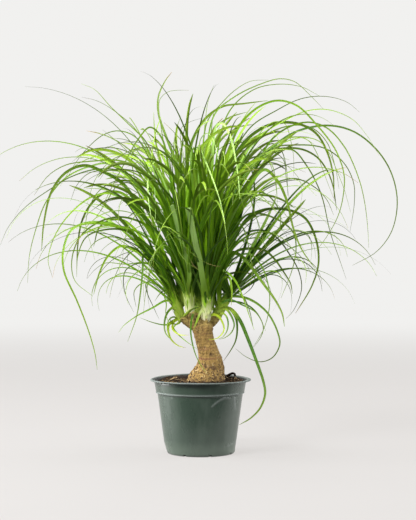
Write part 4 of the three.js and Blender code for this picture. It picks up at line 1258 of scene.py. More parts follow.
    def sheaths(self, count: int = 22) -> list[Course]:
        """Short broad leaf bases that wrap the head's foot, as many as asked for.

        Args:
            count: how many.

        Returns:
            Their courses, from the lowest up.
        """
        draw = Drawing(self.seed + SHEATH_SEED)
        axis = self.heading()
        level = unit(np.cross(axis, HINT))
        courses = []
        for index in range(count):
            rank = index / (count - 1)
            out = turned(level, axis, index * GOLDEN_ANGLE + 0.3 * draw())
            foot = np.array(self.base) + axis * (-3 + 17 * rank) + out * self.radius * (0.78 - 0.25 * rank)
            size = draw.between(16, 34)
            flare = draw.between(0.05, 0.3)
            rise = ((0.3, 1.7 + flare * 3), (0.68, 1.9 + flare * 9), (1.0, 1.2 + flare * 22))
            points = [foot] + [foot + axis * size * share + out * reach for share, reach in rise]
            courses.append(Course(spaced_curve(points, SHEATH_STEPS), draw.between(8, 12), out, 0.0,
                                  (draw() - 0.5) * 0.5, draw(), pale_run=0.115))
        return courses


def new_group(name: str, given: dict[str, str], result: str) -> tuple[Graph, list[Wire]]:
    """Starts a Geometry Nodes tree.

    Args:
        name: name of the tree.
        given: its inputs, as their names and kinds.
        result: name of the geometry that it gives back.

    Returns:
        The graph, and a wire of each input.
    """
    tree = bpy.data.node_groups.new(name, "GeometryNodeTree")
    for item, kind in given.items():
        tree.interface.new_socket(item, in_out="INPUT", socket_type=f"NodeSocket{kind}")
    tree.interface.new_socket(result, in_out="OUTPUT", socket_type="NodeSocketGeometry")
    graph = Graph(tree)
    inputs = graph.node("NodeGroupInput").socket.node
    return graph, [Wire(graph, inputs.outputs[i]) for i in range(len(given))]


def grow(piece: bpy.types.Object, tree: bpy.types.NodeTree, values: dict, angle: float) -> bpy.types.Object:
    """Runs a Geometry Nodes tree on a piece.

    Args:
        piece: what the tree starts from.
        tree: the tree.
        values: values of its inputs, by name.
        angle: edges sharper than this many degrees stay sharp.

    Returns:
        The same object, with the plain mesh that comes out.
    """
    modifier = piece.modifiers.new(tree.name, "NODES")
    modifier.node_group = tree
    for item in tree.interface.items_tree:
        if item.in_out == "INPUT" and item.name in values:
            modifier[item.identifier] = values[item.name]
    return hardened(piece, angle)


class BladeTree:
    """Geometry Nodes that sweep a channelled section along every course."""

    def made(self, finish: Finish) -> bpy.types.NodeTree:
        """Builds the tree.

        Args:
            finish: material of the blades.

        Returns:
            The tree, with inputs for the section.
        """
        given = {"Courses": "Geometry", "Channel": "Float", "Thickness": "Float", "Section points": "Int"}
        graph, wires = new_group(f"blades_{finish.name}", given, "Blades")
        courses, channel, thickness, points = wires
        circle = graph.node("GeometryNodeCurvePrimitiveCircle", None, {"Resolution": points, "Radius": 1.0})
        spot = graph.node("GeometryNodeInputPosition")
        x, y = graph.axis(spot, "X"), graph.axis(spot, "Y")
        below = graph.sum_of("LESS_THAN", y, -0.01)
        depth = (1.0 - x.size()) * channel + below * (1.0 - x * x) * thickness
        section = graph.stored(circle, "across", x)
        section = graph.stored(section, "below", below)
        flat = graph.node("ShaderNodeCombineXYZ", None, {"X": x, "Y": 0.0 - depth})
        section = graph.node("GeometryNodeSetPosition", None, {"Geometry": section, "Position": flat})
        lines = graph.node("GeometryNodeMeshToCurve", None, {"Mesh": courses})
        across, half = graph.named("blade_side", "FLOAT_VECTOR"), graph.named("half_width", "FLOAT")
        lines = graph.node("GeometryNodeSetCurveNormal", {"mode": "FREE"}, {"Curve": lines, "Normal": across})
        lines = graph.node("GeometryNodeSetCurveRadius", None, {"Curve": lines, "Radius": half})
        values = {"Curve": lines, "Profile Curve": section, "Scale": half, "Fill Caps": True}
        graph.give(graph.node("GeometryNodeCurveToMesh", None, values), finish)
        return graph.tree


@dataclass
class Foliage:
    """Turns courses into one piece of blades.

    A leaf has a station for every turn in radians and for every run in millimetres.
    """

    turn: float = 0.11
    run: float = 26.0
    least_width: float = 0.32
    pale_length: float = 420.0
    dry_fade: float = 0.05
    section_points: int = 8
    trees: dict[str, bpy.types.NodeTree] = field(default_factory=dict)

    def rows(self, course: Course) -> Iterable[tuple[np.ndarray, np.ndarray, dict[str, float]]]:
        """Stations of one leaf, from its root to its tip.

        Args:
            course: the leaf's run.

        Returns:
            For each station its point, the direction across it and its attributes.
        """
        across = course.frames()
        last = len(course.points) - 1
        length = float(np.sum(np.linalg.norm(np.diff(course.points, axis=0), axis=1)))
        for i in course.stations(self.turn, self.run):
            along = i / last
            start, fade = (0.1, 0.6) if course.tip is Tip.CUT else (0.5, 0.12)
            dry = (along - (1 - course.dry_run)) / self.dry_fade if course.dry_run > 0.01 else 0.0
            yield course.points[i], across[i], {
                "half_width": max(self.least_width, course.width_at(along)) / 2 * MM,
                "along": along,
                "tone": course.tone,
                "pale": max(0.0, 1 - along * length / (course.pale_run * self.pale_length)),
                "dry": clamped(dry),
                "bleach": course.bleach * clamped((along - start) / fade),
            }

    def piece(self, name: str, courses: Sequence[Course], finish: Finish, channel: float = 0.16,
              thickness: float = 0.26) -> bpy.types.Object:
        """Makes one piece.

        Args:
            name: name of the piece.
            courses: its leaves.
            finish: their material.
            channel: depth of the channel, as a share of half the width.
            thickness: thickness of the blade, as a share of half the width.

        Returns:
            The piece, as a plain mesh.
        """
        points, edges, sides, values = [], [], [], []
        for course in courses:
            for place, (point, across, row) in enumerate(self.rows(course)):
                if place:
                    edges.append((len(points) - 1, len(points)))
                points.append(point)
                sides.append(across)
                values.append(row)
        piece = mesh_object(name, points, edges, [])
        set_attribute(piece.data, "blade_side", sides, "FLOAT_VECTOR")
        for key in values[0]:
            set_attribute(piece.data, key, [row[key] for row in values])
        if finish.name not in self.trees:
            self.trees[finish.name] = BladeTree().made(finish)
        settings = {"Channel": channel, "Thickness": thickness, "Section points": self.section_points}
        return grow(piece, self.trees[finish.name], settings, 50)


def joined(name: str, parts: Sequence[bpy.types.Object]) -> bpy.types.Object:
    """Joins pieces into one, keeping their materials and attributes.

    Args:
        name: name of the result.
        parts: the pieces, of which the first keeps its place.

    Returns:
        The joined piece.
    """
    bpy.ops.object.select_all(action="DESELECT")
    for part in parts:
        part.select_set(True)
    bpy.context.view_layer.objects.active = parts[0]
    bpy.ops.object.join()
    parts[0].name = name
    parts[0].data.name = name
    return parts[0]


class ScatterTree:
    """Geometry Nodes that strew small pieces over the faces of a surface."""

    def made(self, name: str, finish: Finish, lump: bool) -> bpy.types.NodeTree:
        """Builds the tree.

        Args:
            name: name of the tree.
            finish: material of the pieces.
            lump: rounded crumbs if true, flat flakes if not.

        Returns:
            The tree, with inputs for number, size and the band of heights.
        """
        floats = ("Density", "Smallest", "Largest", "Lowest", "Highest", "Least tone", "Most tone", "Reach")
        given = {"Surface": "Geometry", **dict.fromkeys(floats, "Float"), "Seed": "Int"}
        graph, wires = new_group(name, given, "Pieces")
        surface, density, small, large, low, high, dull, bright, reach, seed = wires
        spot = graph.node("GeometryNodeInputPosition")
        height = graph.axis(spot, "Z")
        out = graph.vector("LENGTH", {0: graph.vector("MULTIPLY", {0: spot, 1: (1.0, 1.0, 0.0)})}, "Value")
        inside = graph.sum_of("GREATER_THAN", height, low) * graph.sum_of("LESS_THAN", height, high)
        inside = inside * graph.sum_of("LESS_THAN", out, reach)
        seeded = {"Mesh": surface, "Selection": inside, "Density": density, "Seed": seed}
        points = graph.node("GeometryNodeDistributePointsOnFaces", None, seeded)
        turned_up = Wire(graph, points.socket.node.outputs["Rotation"])
        if lump:
            shape = graph.node("GeometryNodeMeshIcoSphere", None, {"Radius": 0.5, "Subdivisions": 1})
            squashes, turns = ((0.5, 0.5, 0.4), (1.0, 1.5, 1.0)), ((-0.8, -0.8, 0.0), (0.8, 0.8, 6.2))
        else:
            shape = graph.node("GeometryNodeMeshCylinder", None, {"Vertices": 6, "Radius": 0.5, "Depth": 0.3})
            squashes, turns = ((0.55, 0.9, 0.35), (1.0, 1.7, 0.6)), ((-0.25, -0.25, -0.9), (0.25, 0.25, 0.9))
        ragged = graph.node("ShaderNodeTexWhiteNoise", {"noise_dimensions": "3D"}, {"Vector": spot}, "Color")
        ragged = graph.vector("SUBTRACT", {0: ragged, 1: (0.5, 0.5, 0.5)})
        ragged = graph.vector("SCALE", {0: ragged, "Scale": 0.28})
        shape = graph.node("GeometryNodeSetPosition", None, {"Geometry": shape, "Offset": ragged})
        size = small + (large - small) * graph.random(seed + 5, 0.0, 1.0) ** 2.2
        scale = graph.vector("SCALE", {0: graph.random(seed + 6, *squashes), "Scale": size})
        strewn = graph.node("GeometryNodeInstanceOnPoints", None,
                            {"Points": points, "Instance": shape, "Rotation": turned_up, "Scale": scale})
        turn = graph.random(seed + 7, *turns)
        strewn = graph.node("GeometryNodeRotateInstances", None, {"Instances": strewn, "Rotation": turn})
        tone = dull + (bright - dull) * graph.random(seed + 8, 0.0, 1.0) ** 2.0
        graph.give(graph.stored(strewn, "chip_tone", tone, "INSTANCE"), finish)
        return graph.tree


@dataclass
class Scatter:
    """Small pieces strewn over a surface: how dense, how large and where."""

    name: str
    density: float
    sizes: tuple[float, float]
    heights: tuple[float, float]
    tones: tuple[float, float]
    seed: int
    lump: bool = True
    reach: float = 68.0

    def over(self, surface: bpy.types.Object, finish: Finish) -> bpy.types.Object:
        """Strews the pieces.

        Args:
            surface: the object whose faces carry them.
            finish: their material.

        Returns:
            The pieces, as one plain mesh.
        """
        piece = bpy.data.objects.new(self.name, surface.data.copy())
        bpy.context.scene.collection.objects.link(piece)
        values = {
            "Density": self.density, "Smallest": self.sizes[0] * MM, "Largest": self.sizes[1] * MM,
            "Lowest": self.heights[0] * MM, "Highest": self.heights[1] * MM,
            "Least tone": self.tones[0], "Most tone": self.tones[1], "Seed": self.seed,
            "Reach": self.reach * MM,
        }
        return grow(piece, ScatterTree().made(self.name, finish, self.lump), values, 30)


# Waves round the pot's rim: how many, where each starts in radians, and its size.
RIM_WAVES = ((3, 0.6, 0.16), (7, 2, 0.1), (13, 0, 0.05))

# Creases of the pot's front wall: how far each stands out, and its course as x, z pairs. The ones
# that stand out also carry a painted highlight.
POT_CREASES: list[tuple[float, list[tuple[float, float]]]] = [
    (1.0, [(18, 83), (25, 89), (32, 93.5), (39, 97)]),
    (0.7, [(32, 93), (39, 96), (46, 95)]),
    (0.5, [(54, 99), (55, 88), (55.5, 74)]),
    (0.6, [(-57, 98.5), (-51, 98)]),
    (0.6, [(-46, 99), (-46.5, 95)]),
    (-0.8, [(40, 16.8), (48, 20.3), (56, 24.6)]),
    (0.5, [(44, 15), (51, 18), (57, 21)]),
]


@dataclass
class Pot:
    """Round nursery pot with a stepped band, an out-turned lip and drain notches.

    Radii and heights are of the outer face. The left side swells, and the back of the rim is raised.
    """

    height: float = 122.0
    rim: float = 82.5
    band_top: float = 74.7
    band_bottom: float = 71.7
    step: float = 98.8
    step_depth: float = 2.3
    base: float = 56.4
    corner: float = 5.0
    wall: float = 1.5
    floor: float = 2.0
    sides: int = 360
    notches: int = 8
    lip_height: float = 3.4
    swell: float = 2.2
    rim_swell: float = 1.2
    back_lift: float = 2.6
    notch_width: float = 7.0
    notch_height: float = 3.4
    first_notch: float = -28.5

    def profile(self) -> list[tuple[float, float]]:
        """Outline of the wall as radius and height, from the underside round to the floor inside.

        Returns:
            Pairs of a radius and a height.
        """
        base, low, high, rim = self.base, self.band_bottom, self.band_top, self.rim
        step, wall, top = self.step, self.wall, low - self.step_depth
        lip = self.height - self.lip_height
        rows = [(base - 4.2, 0.0), (base - 2.4, 0.35), (base - 1.1, 1.5), (base - 0.35, 3.0),
                (base, self.corner)]
        rows += self.straight((base, self.corner), (top, step - 0.4), 60)
        rows += [(top + 0.5, step + 0.1), (low - 0.5, step + 0.45), (low + 0.35, step + 0.9),
                 (low + 0.45, step + 1.5), (low + 0.1, step + 2.0)]
        rows += self.straight((low, step + 2.0), (high, lip - 0.5), 8)
        rows += [(high + 0.7, lip + 0.1), (rim - 1.6, lip + 0.9), (rim - 0.4, lip + 1.3),
                 (rim, self.height - 1.3), (rim - 0.25, self.height - 0.4), (rim - 1.0, self.height),
                 (high + 2.4, self.height - 0.2), (high - wall + 1.1, self.height - 1.0),
                 (high - wall, lip - 0.6), (low - wall, step + 2.2), (top - wall, step + 0.6),
                 (base - wall, self.corner + 1.0), (base - wall - 2.4, self.floor)]
        return rows

    @staticmethod
    def straight(start: Sequence[float], end: Sequence[float], steps: int) -> list[tuple[float, float]]:
        """Evenly spaced points from a start, which is left out, to an end."""
        return [tuple(a + (b - a) * (i / steps) for a, b in zip(start, end)) for i in range(1, steps + 1)]

    def outer_at(self, z: float) -> float:
        """Radius of the wall's outer face at a height.

        Args:
            z: the height.

        Returns:
            The radius in millimetres.
        """
        lip = self.height - self.lip_height
        heights = (0.0, self.corner, self.step, self.step + 1.0, lip, lip + 0.8)
        radii = (self.base - 4.2, self.base, self.band_bottom - self.step_depth, self.band_bottom,
                 self.band_top, self.band_top + 2.6)
        return float(np.interp(z, heights, radii))

    @staticmethod
    def swell_at(z: float, angle: float) -> float:
        """Share of the left side's swelling, which starts a little above the floor."""
        return max(0.0, -math.cos(angle)) ** 2 * clamped((z - 3) / 16)

    def shaped(self, radius: float, z: float, angle: float) -> tuple[float, float]:
        """Radius and height with the small unevenness of thin moulded plastic.

        Args:
            radius: its plain radius.
            z: its height.
            angle: where it lies round the pot, in radians.

        Returns:
            The radius and the height.
        """
        radius += (self.swell if radius < self.band_top + 1 else self.rim_swell) * self.swell_at(z, angle)
        band = self.step + 3
        if z > band:
            z += self.back_lift * max(0.0, math.sin(angle)) ** 2 * (z - band) / (self.height - band)
        if z > self.height - 4.5:
            wave = sum(math.sin(times * angle + start) * size for times, start, size in RIM_WAVES)
            return radius + 1.2 * wave * (radius > self.band_top + 1), z + wave - 0.2
        if z > self.corner + 2:
            sag = noise.noise(Vector((math.cos(angle) * 1.6, math.sin(angle) * 1.6, z * 0.018))) * 0.45
            return radius + sag + 0.5 * self.crease_at(radius, z, angle), z
        return radius, z

    def crease_at(self, radius: float, z: float, angle: float) -> float:
        """How strongly the wall is creased at a place, below 0 where it is dented.

        Args:
            radius: its plain radius.
            z: its height.
            angle: where it lies round the pot, in radians.

        Returns:
            A share of the full depth, from -1 to 1.
        """
        if math.sin(angle) > -0.3 or radius < self.base - 0.6:
            return 0.0
        spot = np.array((math.cos(angle) * radius, z))
        total = 0.0
        for depth, line in POT_CREASES:
            for start, end in zip(line, line[1:]):
                run = np.subtract(end, start)
                share = clamped(float(np.dot(spot - start, run) / np.dot(run, run)))
                gap = float(np.linalg.norm(spot - start - run * share))
                if gap < 4:
                    mark = math.exp(-((gap / 1.1) ** 2)) * depth
                    total = max(total, mark) if depth > 0 else min(total, mark)
        return total

    def build(self) -> None:
        """Makes the pot and hands it over."""
        rows = self.profile()
        ring = around(self.sides)
        points = []
        for radius, z in rows:
            for angle, cos, sin in ring:
                reach, height = self.shaped(radius, z, angle)
                points.append((cos * reach, sin * reach, height))
        piece = mesh_object("pot_wall", points, [], ring_faces(len(rows), self.sides))
        cutter = self.notch_cutter()
        modifier = piece.modifiers.new("notches", "BOOLEAN")
        modifier.object = cutter
        modifier.operation = "DIFFERENCE"
        modifier.solver = "EXACT"
        hardened(piece, 38)
        bpy.data.objects.remove(cutter)
        lip, inside = [], []
        for vertex in piece.data.vertices:
            x, y, z = vertex.co / MM
            radius, angle = math.hypot(x, y), math.atan2(y, x)
            # Painted highlights: the rim's outer edge at the front only, which is also rubbed, the band's
            # step and the creases that stand out. The inner wall gets painted shade.
            edge = radius > self.rim - 1.0 and z > self.height - 2.2 and y < 40
            step_highlight = abs(z - self.step - 1.6) < 0.75 and radius > self.band_bottom
            outer = radius > self.outer_at(z) - 0.8 + self.swell * self.swell_at(z, angle)
            crease_highlight = max(0.0, self.crease_at(radius, z, angle)) * outer
            lip.append(max(1.0 if edge else 0.0, 0.7 if step_highlight else 0.0, 0.6 * crease_highlight))
            inside.append(0.0 if outer or edge else 1.0)
        set_attribute(piece.data, "lip", lip)
        set_attribute(piece.data, "inside", inside)
        finished(PotPlastic().cover(piece), "pot")

    def notch_cutter(self) -> bpy.types.Object:
        """One mesh of the blocks that cut the drain notches.

        Returns:
            The blocks, as one object.
        """
        points, faces = [], []
        for i in range(self.notches):
            turn = Matrix.Rotation(math.radians(self.first_notch + i * 360 / self.notches), 3, "Z")
            start = len(points)
            for z, half in ((-2.0, self.notch_width / 2), (self.notch_height, self.notch_width / 2 - 1)):
                corners = ((-half, -60), (half, -60), (half, -48), (-half, -48))
                points += [turn @ Vector((x, y, z)) for x, y in corners]
            faces += [tuple(start + k for k in loop) for loop in (
                (3, 2, 1, 0), (4, 5, 6, 7), (0, 1, 5, 4), (1, 2, 6, 5), (2, 3, 7, 6), (3, 0, 4, 7))]
        return mesh_object("notch_blocks", points, [], faces)


@dataclass
class Soil:
    """Potting mix that fills the pot, heaped round the trunk, with crumbs and bark chips."""

    edge: float = 115.6
    crown: float = 119.6
    lift: float = 5.4
    reach: float = 72.6
    sides: int = 150
    rings: int = 44
    walls: tuple = ((51.8, 2.6), (54.2, 6.6), (67.3, 101.6), (69.6, 103.4), (72.6, 113.6))
    strewn: tuple = (
        Scatter("soil_crumbs", 190000, (0.7, 2.6), (114, 122), (0.03, 0.5), 3),
        Scatter("soil_chips", 21000, (2.4, 6.5), (114, 122), (0.25, 0.86), 11),
        Scatter("soil_flakes", 14000, (2.5, 8.5), (114, 122), (0.5, 1.0), 23, False),
    )

    def height_at(self, x: float, y: float) -> float:
        """Height of the surface at a place.

        Args:
            x: distance to the right.
            y: distance to the back.

        Returns:
            The height in millimetres.
        """
        radius = math.hypot(x, y)
        share = clamped((70 - radius) / 36)
        heap = share * share * (3 - 2 * share)
        rough = noise.fractal(Vector((x, y, 3.7)) * 0.11, 0.8, 2.1, 4)
        behind = clamped((y + 8) / 48) * self.lift
        return self.edge + behind + (self.crown - self.edge) * heap + rough * 0.9

    def build(self) -> None:
        """Makes the soil and hands it over."""
        ring = around(self.sides)
        points = [(cos * radius, sin * radius, z) for radius, z in self.walls for _, cos, sin in ring]
        for row in range(self.rings):
            radius = self.reach - 0.2 - (self.reach - 3) * row / (self.rings - 1)
            for _, cos, sin in ring:
                x, y = cos * radius, sin * radius
                points.append((x, y, self.height_at(x, y)))
        faces = ring_faces(len(self.walls) + self.rings, self.sides)
        bed = hardened(mesh_object("soil_bed", points, [], faces), 60)
        even(bed, chip_tone=0.0)
        mix = PottingMix()
        mix.cover(bed)
        loose = [scatter.over(bed, mix) for scatter in self.strewn]
        finished(joined("soil_bed", [bed, *loose, self.splinter()]), "soil")

    @staticmethod
    def splinter(steps: int = 20, sides: int = 8) -> bpy.types.Object:
        """Dark curled strip of bark that stands out of the soil behind the trunk.

        Args:
            steps: steps along it.
            sides: points round it.

        Returns:
            The strip.
        """
        places = ((30, 34, 114), (44, 32, 124), (53, 31, 128.5), (56.5, 31, 127), (57, 31, 123.5))
        spine = spaced_curve([np.array(place, float) for place in places], steps)
        points = []
        for i, spot in enumerate(spine):
            size = 4.0 * (1 - 0.45 * i / steps)
            ray = unit(spine[min(i + 1, steps)] - spine[max(i - 1, 0)])
            up = unit(np.cross(ray, AWAY))
            points += [spot + AWAY * cos * size + up * sin * size * 0.75 for _, cos, sin in around(sides)]
        piece = hardened(mesh_object("splinter", points, [], ring_faces(steps + 1, sides)), 60)
        even(piece, chip_tone=0.06)
        return PottingMix().cover(piece)


@dataclass
class Trunk:
    """Leaning corky trunk with its branch stubs and the roots inside the soil."""

    heads: Sequence[Head]
    sides: int = 72
    cell: float = 0.85
    fork: tuple = (3.4, 0, 203.0)
    roots: tuple = ((88.0, 14, 8), (74.0, 28, 5.5), (58.0, 36, 2.4))
    strewn: tuple = (
        Scatter("bark_flakes", 16000, (1.2, 3.6), (146, 214), (0.35, 0.9), 41, False),
        Scatter("foot_flakes", 130000, (1.2, 4.0), (118, 150), (0.15, 1.0), 43, False),
    )

    def build(self) -> None:
        """Makes the trunk and hands it over."""
        rows = smoothed(TRUNK_SECTIONS, 100)
        ring = around(self.sides)
        points = [(x + cos * across, sin * deep, z) for z, x, across, deep in rows for _, cos, sin in ring]
        parts = [mesh_object("trunk_bark", points, [], ring_faces(len(rows), self.sides))]
        top = np.array(self.fork)
        for head in self.heads:
            seat = np.array(head.base, float) + head.heading() * 4
            knee = top + (seat - top) * 0.55 + np.array((0, 0, -3.0))
            parts.append(self.limb([top, knee, seat], [10, head.radius - 0.4, head.radius + 0.2]))
        for _, cos, sin in around(4, 0.5):
            spine = [np.array((7, 0, z)) + np.array((cos, sin, 0)) * reach for z, reach, _ in self.roots]
            parts.append(self.limb(spine, [radius for *_, radius in self.roots]))
        piece = joined("trunk_bark", parts)
        modifier = piece.modifiers.new("grown_together", "REMESH")
        modifier.mode = "VOXEL"
        modifier.voxel_size = self.cell * MM
        hardened(piece)
        ease = piece.modifiers.new("eased", "SMOOTH")
        ease.factor = 0.5
        ease.iterations = 6
        hardened(piece)
        self.roughen(piece)
        bark = CorkBark()
        bark.cover(piece)
        flakes = [scatter.over(piece, bark) for scatter in self.strewn]
        for loose in flakes:
            even(loose, fresh=0.0, hollow=0.0)
        finished(joined("trunk_bark", [piece, *flakes]), "trunk")

    @staticmethod
    def limb(spine: Sequence[np.ndarray], radii: Sequence[float], steps: int = 14,
             sides: int = 24) -> bpy.types.Object:
        """Round tapering piece along three points.

        Args:
            spine: its points.
            radii: its radius at each.
            steps: how many steps it has along its length.
            sides: how many points it has round about.

        Returns:
            The piece.
        """
        path = spaced_curve(spine, steps)
        points = []
        for i, spot in enumerate(path):
            ray = unit(path[min(i + 1, steps)] - path[max(i - 1, 0)])
            side = unit(np.cross(ray, np.array([0.3, 0.9, 0.2])))
            up = np.cross(ray, side)
            radius = float(np.interp(i / steps, (0, 0.5, 1), radii))
            points += [spot + side * cos * radius + up * sin * radius for _, cos, sin in around(sides)]
        return mesh_object("limb", points, [], ring_faces(steps + 1, sides))

    @staticmethod
    def roughen(piece: bpy.types.Object) -> None:
        """Raises cork ridges, plates and leaf scars on the bark, and stores its painted shade and where it is
        fresh.

        Args:
            piece: the bark.
        """
        mesh = piece.data
        count = len(mesh.vertices)
        spots, normals = np.empty((2, count * 3), np.float32)
        mesh.vertices.foreach_get("co", spots)
        mesh.vertices.foreach_get("normal", normals)
        spots, normals = spots.reshape(-1, 3) / MM, normals.reshape(-1, 3)
        rise, hollow, fresh = np.zeros((3, count))
        for i, (x, y, z) in enumerate(spots):
            lumps = noise.fractal(Vector((x, y, z * 0.7)) * 0.06, 0.9, 2.0, 3) * 1.2
            ridges = noise.fractal(Vector((x * 0.2, y * 0.2, z * 0.055)), 0.8, 2.2, 4)
            crack = max(0.0, 0.14 - abs(ridges)) / 0.14
            waver = noise.noise(Vector((x, y, z)) * 0.07) * 2.4
            scar = math.sin(2 * math.pi * z / 4.6 + waver) * 0.14 * clamped((z - 134) / 20)
            grit = noise.noise(Vector((x, y, z * 0.5)) * 0.6) * 0.3
            pit = math.exp(-((x - 17) ** 2 + (z - 163) ** 2) / 9) if y < 0 else 0.0
            groove = math.exp(-((x - 3) / 4) ** 2) * clamped((z - 196) / 12) if y < 0 else 0.0
            gap = math.exp(-((x + 4) ** 2 + (z - 225) ** 2) / 18) if y < 4 else 0.0
            rise[i] = lumps * 0.8 + ridges * 0.8 - crack * 0.75 + scar + grit - pit * 1.6 - groove * 1.2
            # Painted shade in the cracks, the pit, the groove and the scars' troughs, and a spot of it in the
            # gap between the stubs.
            hollow[i] = min(1.0, crack * 0.6 + pit + gap * 1.2 + groove * 0.3 + max(0.0, -scar) * 0.9)
            fresh[i] = clamped((z - 206) / 14)
        moved = (spots + normals * rise[:, None]) * MM
        mesh.vertices.foreach_set("co", moved.astype(np.float32).ravel())
        mesh.update()
        set_attribute(mesh, "hollow", hollow)
        set_attribute(mesh, "fresh", fresh)
        even(piece, chip_tone=0.0)


@dataclass
class Crown:
    """All the heads, each one piece of blades over its core of leaf bases."""

    heads: Sequence[Head]
    foliage: Foliage = field(default_factory=Foliage)

    def build(self) -> None:
        """Makes every head and every spent leaf, and hands them over."""
        for head in self.heads:
            leaves = [head.traced(row, head.seed + i) for i, row in enumerate(TRACED_LEAVES[head.name])]
            leaves += [head.traced(row, head.seed + FRINGE_SEED + i)
                       for i, row in enumerate(FRINGE_LEAVES[head.name])]
            leaves += [head.grown(i) for i in range(head.count)]
            leaves += [head.filled(i) for i in range(head.inner)]
            blades = self.foliage.piece(f"{head.name}_blades", leaves, head.finish)
            sheaths = self.foliage.piece(f"{head.name}_sheaths", head.sheaths(), head.finish, -0.35, 0.3)
            whole = joined(f"{head.name}_leaves", [blades, sheaths, self.core(head)])
            finished(whole, f"head_{head.name}")
        by_name = {head.name: head for head in self.heads}
        for i, (name, (owner, row)) in enumerate(SPENT_LEAVES.items()):
            course = by_name[owner].traced(row, SPENT_SEED + i)
            course.width += 1.2
            course.dry_run = 0.05
            course.pale_run = 0.03
            finished(self.foliage.piece(f"{name}_blade", [course], SpentLeaf()), name)

    @staticmethod
    def core(head: Head, sides: int = 20) -> bpy.types.Object:
        """Bundled leaf bases at the heart of a head.

        Args:
            head: the head.
            sides: points round it.

        Returns:
            The bundle.
        """
        axis = head.heading()
        side = unit(np.cross(axis, HINT))
        up = np.cross(axis, side)
        rows = smoothed([(0, 0.8), (8, 0.92), (28, 0.95), (50, 0.8), (72, 0.3)], 30)
        points = []
        for along, share in rows:
            for angle, cos, sin in around(sides):
                reach = head.radius * share * (1 + 0.08 * math.sin(5 * angle + along * 0.05))
                points.append(np.array(head.base) + axis * along + (side * cos + up * sin) * reach)
        piece = hardened(mesh_object("core", points, [], ring_faces(len(rows), sides)), 60)
        even(piece, along=0.05, across=0.5, below=0.0, tone=0.6, dry=0.0, bleach=0.0)
        heights = np.repeat(rows[:, 0], sides)
        set_attribute(piece.data, "pale", np.maximum(0.0, 1 - heights / 20))
        return head.finish.cover(piece)


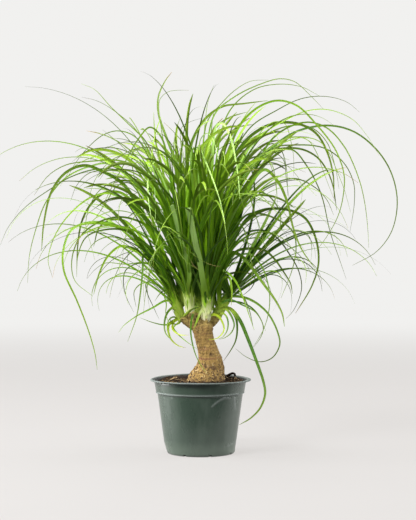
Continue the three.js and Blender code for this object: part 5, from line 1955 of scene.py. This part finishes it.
@dataclass
class Studio:
    """Pale floor that sweeps up far behind, soft lights, and the camera at the viewer's place.

    Each lamp is its name, place, aim, length in millimetres, power in watts and, for the low ones that
    light only the pot, its height.
    """

    depth: float = 8000.0
    bend: float = 1500.0
    level: float = -0.2
    lens: float = 94.4
    lamps: tuple = (
        ("key", (-1400, -1500, 1700), (0, 0, 300), 800, 92),
        ("fill", (1800, -1200, 900), (0, 0, 250), 900, 16),
        ("left_side", (-1500, 100, 1300), (0, 0, 350), 900, 36),
        ("right_side", (1500, 200, 1300), (0, 0, 350), 900, 24),
        ("top", (-100, 500, 2200), (0, 0, 400), 1000, 34),
    )
    edges: tuple = (
        ("left_edge", (-1500, 250, 62), (0, 0, 62), 800, 21, 100),
        ("right_edge", (1500, 350, 62), (0, 0, 62), 700, 8, 100),
    )

    def build(self) -> None:
        """Makes the floor, the lights, the surroundings and the camera."""
        self.floor()
        self.flag()
        for lamp in self.lamps:
            self.light(*lamp)
        lit = bpy.data.collections.new("edge_lit")
        lit.objects.link(bpy.data.objects["pot_wall"])
        for lamp in self.edges:
            self.light(*lamp).light_linking.receiver_collection = lit
        self.surroundings()
        self.camera()

    def floor(self) -> None:
        """Lays the floor, which sweeps up far behind, all round."""
        bend, sides = self.bend, 96
        path = [(300.0, 0.0), (1200.0, 0.0), (self.depth - bend, 0.0)]
        path += [(self.depth - bend + bend * math.sin(a), bend - bend * math.cos(a))
                 for a in (math.pi / 2 * i / 16 for i in range(1, 17))]
        path.append((self.depth, 6500.0))
        points = [(0.0, 0.0, self.level)]
        for radius, z in path:
            points += [(cos * radius, sin * radius, z + self.level) for _, cos, sin in around(sides)]
        faces = [(0, 1 + i, 1 + (i + 1) % sides) for i in range(sides)]
        for ring in range(len(path) - 1):
            low = 1 + ring * sides
            faces += [(low + i, low + sides + i, low + sides + (i + 1) % sides, low + (i + 1) % sides)
                      for i in range(sides)]
        floor = FloorPaint().cover(hardened(mesh_object("floor", points, [], faces), 60))
        floor.visible_diffuse = False

    @staticmethod
    def surroundings() -> None:
        """Sets the faint cool light from all round, and the plain view of the colours."""
        world = bpy.data.worlds.new("studio")
        world.use_nodes = True
        back = world.node_tree.nodes["Background"]
        back.inputs["Color"].default_value = (0.93, 0.95, 1.0, 1.0)
        back.inputs["Strength"].default_value = 0.22
        bpy.context.scene.world = world
        bpy.context.scene.view_settings.view_transform = "Standard"

    def camera(self) -> None:
        """Sets the camera at the viewer's place, level."""
        data = bpy.data.cameras.new("viewer")
        data.lens = self.lens
        data.sensor_width = 36.0
        camera = bpy.data.objects.new("viewer", data)
        camera.location = (VIEW_X * MM, -VIEW_DISTANCE * MM, VIEW_Z * MM)
        camera.rotation_euler = Euler((math.pi / 2, 0, 0))
        bpy.context.scene.collection.objects.link(camera)
        bpy.context.scene.camera = camera

    @staticmethod
    def flag() -> None:
        """Lays a dark card before the pot that only shows in its sheen, as a photographer's flag does."""
        corners = [(-157, -152, 1.5), (90, -150, 1.5), (203, -147, 1.5), (1500, 300, 1.5), (5500, -5500, 1.5),
                   (-5500, -5500, 1.5), (-1500, 100, 1.5), (-387, -110, 1.5)]
        card = FlagCloth().cover(mesh_object("dark_card", corners, [], [tuple(range(len(corners)))]))
        for side in ("camera", "diffuse", "transmission", "volume_scatter", "shadow"):
            setattr(card, f"visible_{side}", False)

    @staticmethod
    def light(name: str, place: Sequence[float], aim: Sequence[float], size: float,
              power: float, tall: float | None = None) -> bpy.types.Object:
        """Adds one soft light.

        Args:
            name: its name.
            place: where it stands, in millimetres.
            aim: what it points at.
            size: length of its side.
            power: its power in watts.
            tall: its height, where it isn't square.

        Returns:
            The lamp.
        """
        data = bpy.data.lights.new(name, "AREA")
        data.shape = "RECTANGLE"
        data.size = size * MM
        data.size_y = (size if tall is None else tall) * MM
        data.energy = power
        lamp = bpy.data.objects.new(name, data)
        lamp.location = Vector(place) * MM
        lamp.rotation_mode = "QUATERNION"
        lamp.rotation_quaternion = (Vector(aim) - Vector(place)).to_track_quat("-Z", "Y")
        bpy.context.scene.collection.objects.link(lamp)
        return lamp


def make_heads() -> list[Head]:
    """The five heads, from left to right and then the one behind.

    Returns:
        The heads.
    """
    cream = StrapLeaf(name="strap_leaf_cream")
    lime = StrapLeaf(name="strap_leaf_lime", pale=(0.46, 0.58, 0.10))
    return [
        Head("left", (-31, -4, 221), (-0.36, -0.1, 0.93), 7.4, 1000, 16, (105, 290), (260, 430),
             (4.5, 7.5), 3, (0.05, 0.85), lime),
        Head("middle", (-17, -13, 230), (-0.1, -0.16, 0.98), 7, 2000, 24, (170, 320), (330, 520),
             (5, 8), 40, (-0.1, 0.75), cream),
        Head("centre", (8.6, -6, 219), (0.04, -0.06, 1), 7.8, 3000, 25, (-130, -25), (360, 540),
             (5.5, 8.5), 48, (0.05, 0.95), cream),
        Head("right", (24, 8, 221), (0.45, 0.1, 0.88), 7, 4000, 20, (-75, 100), (280, 450),
             (4.5, 8), 4, (-0.1, 0.65), lime),
        Head("back", (-4, 17, 224), (-0.06, 0.36, 0.93), 7.4, 5000, 35, (25, 160), (320, 490),
             (5, 8), 20, (-0.15, 0.5), lime),
    ]


def main() -> None:
    """Builds the plant, its pot and the studio, and reports each piece."""
    logging.basicConfig(level=logging.INFO, format="%(name)s: %(message)s")
    heads = make_heads()
    Pot().build()
    Soil().build()
    Trunk(heads).build()
    Crown(heads).build()
    Studio().build()


if __name__ == "__main__":
    main()
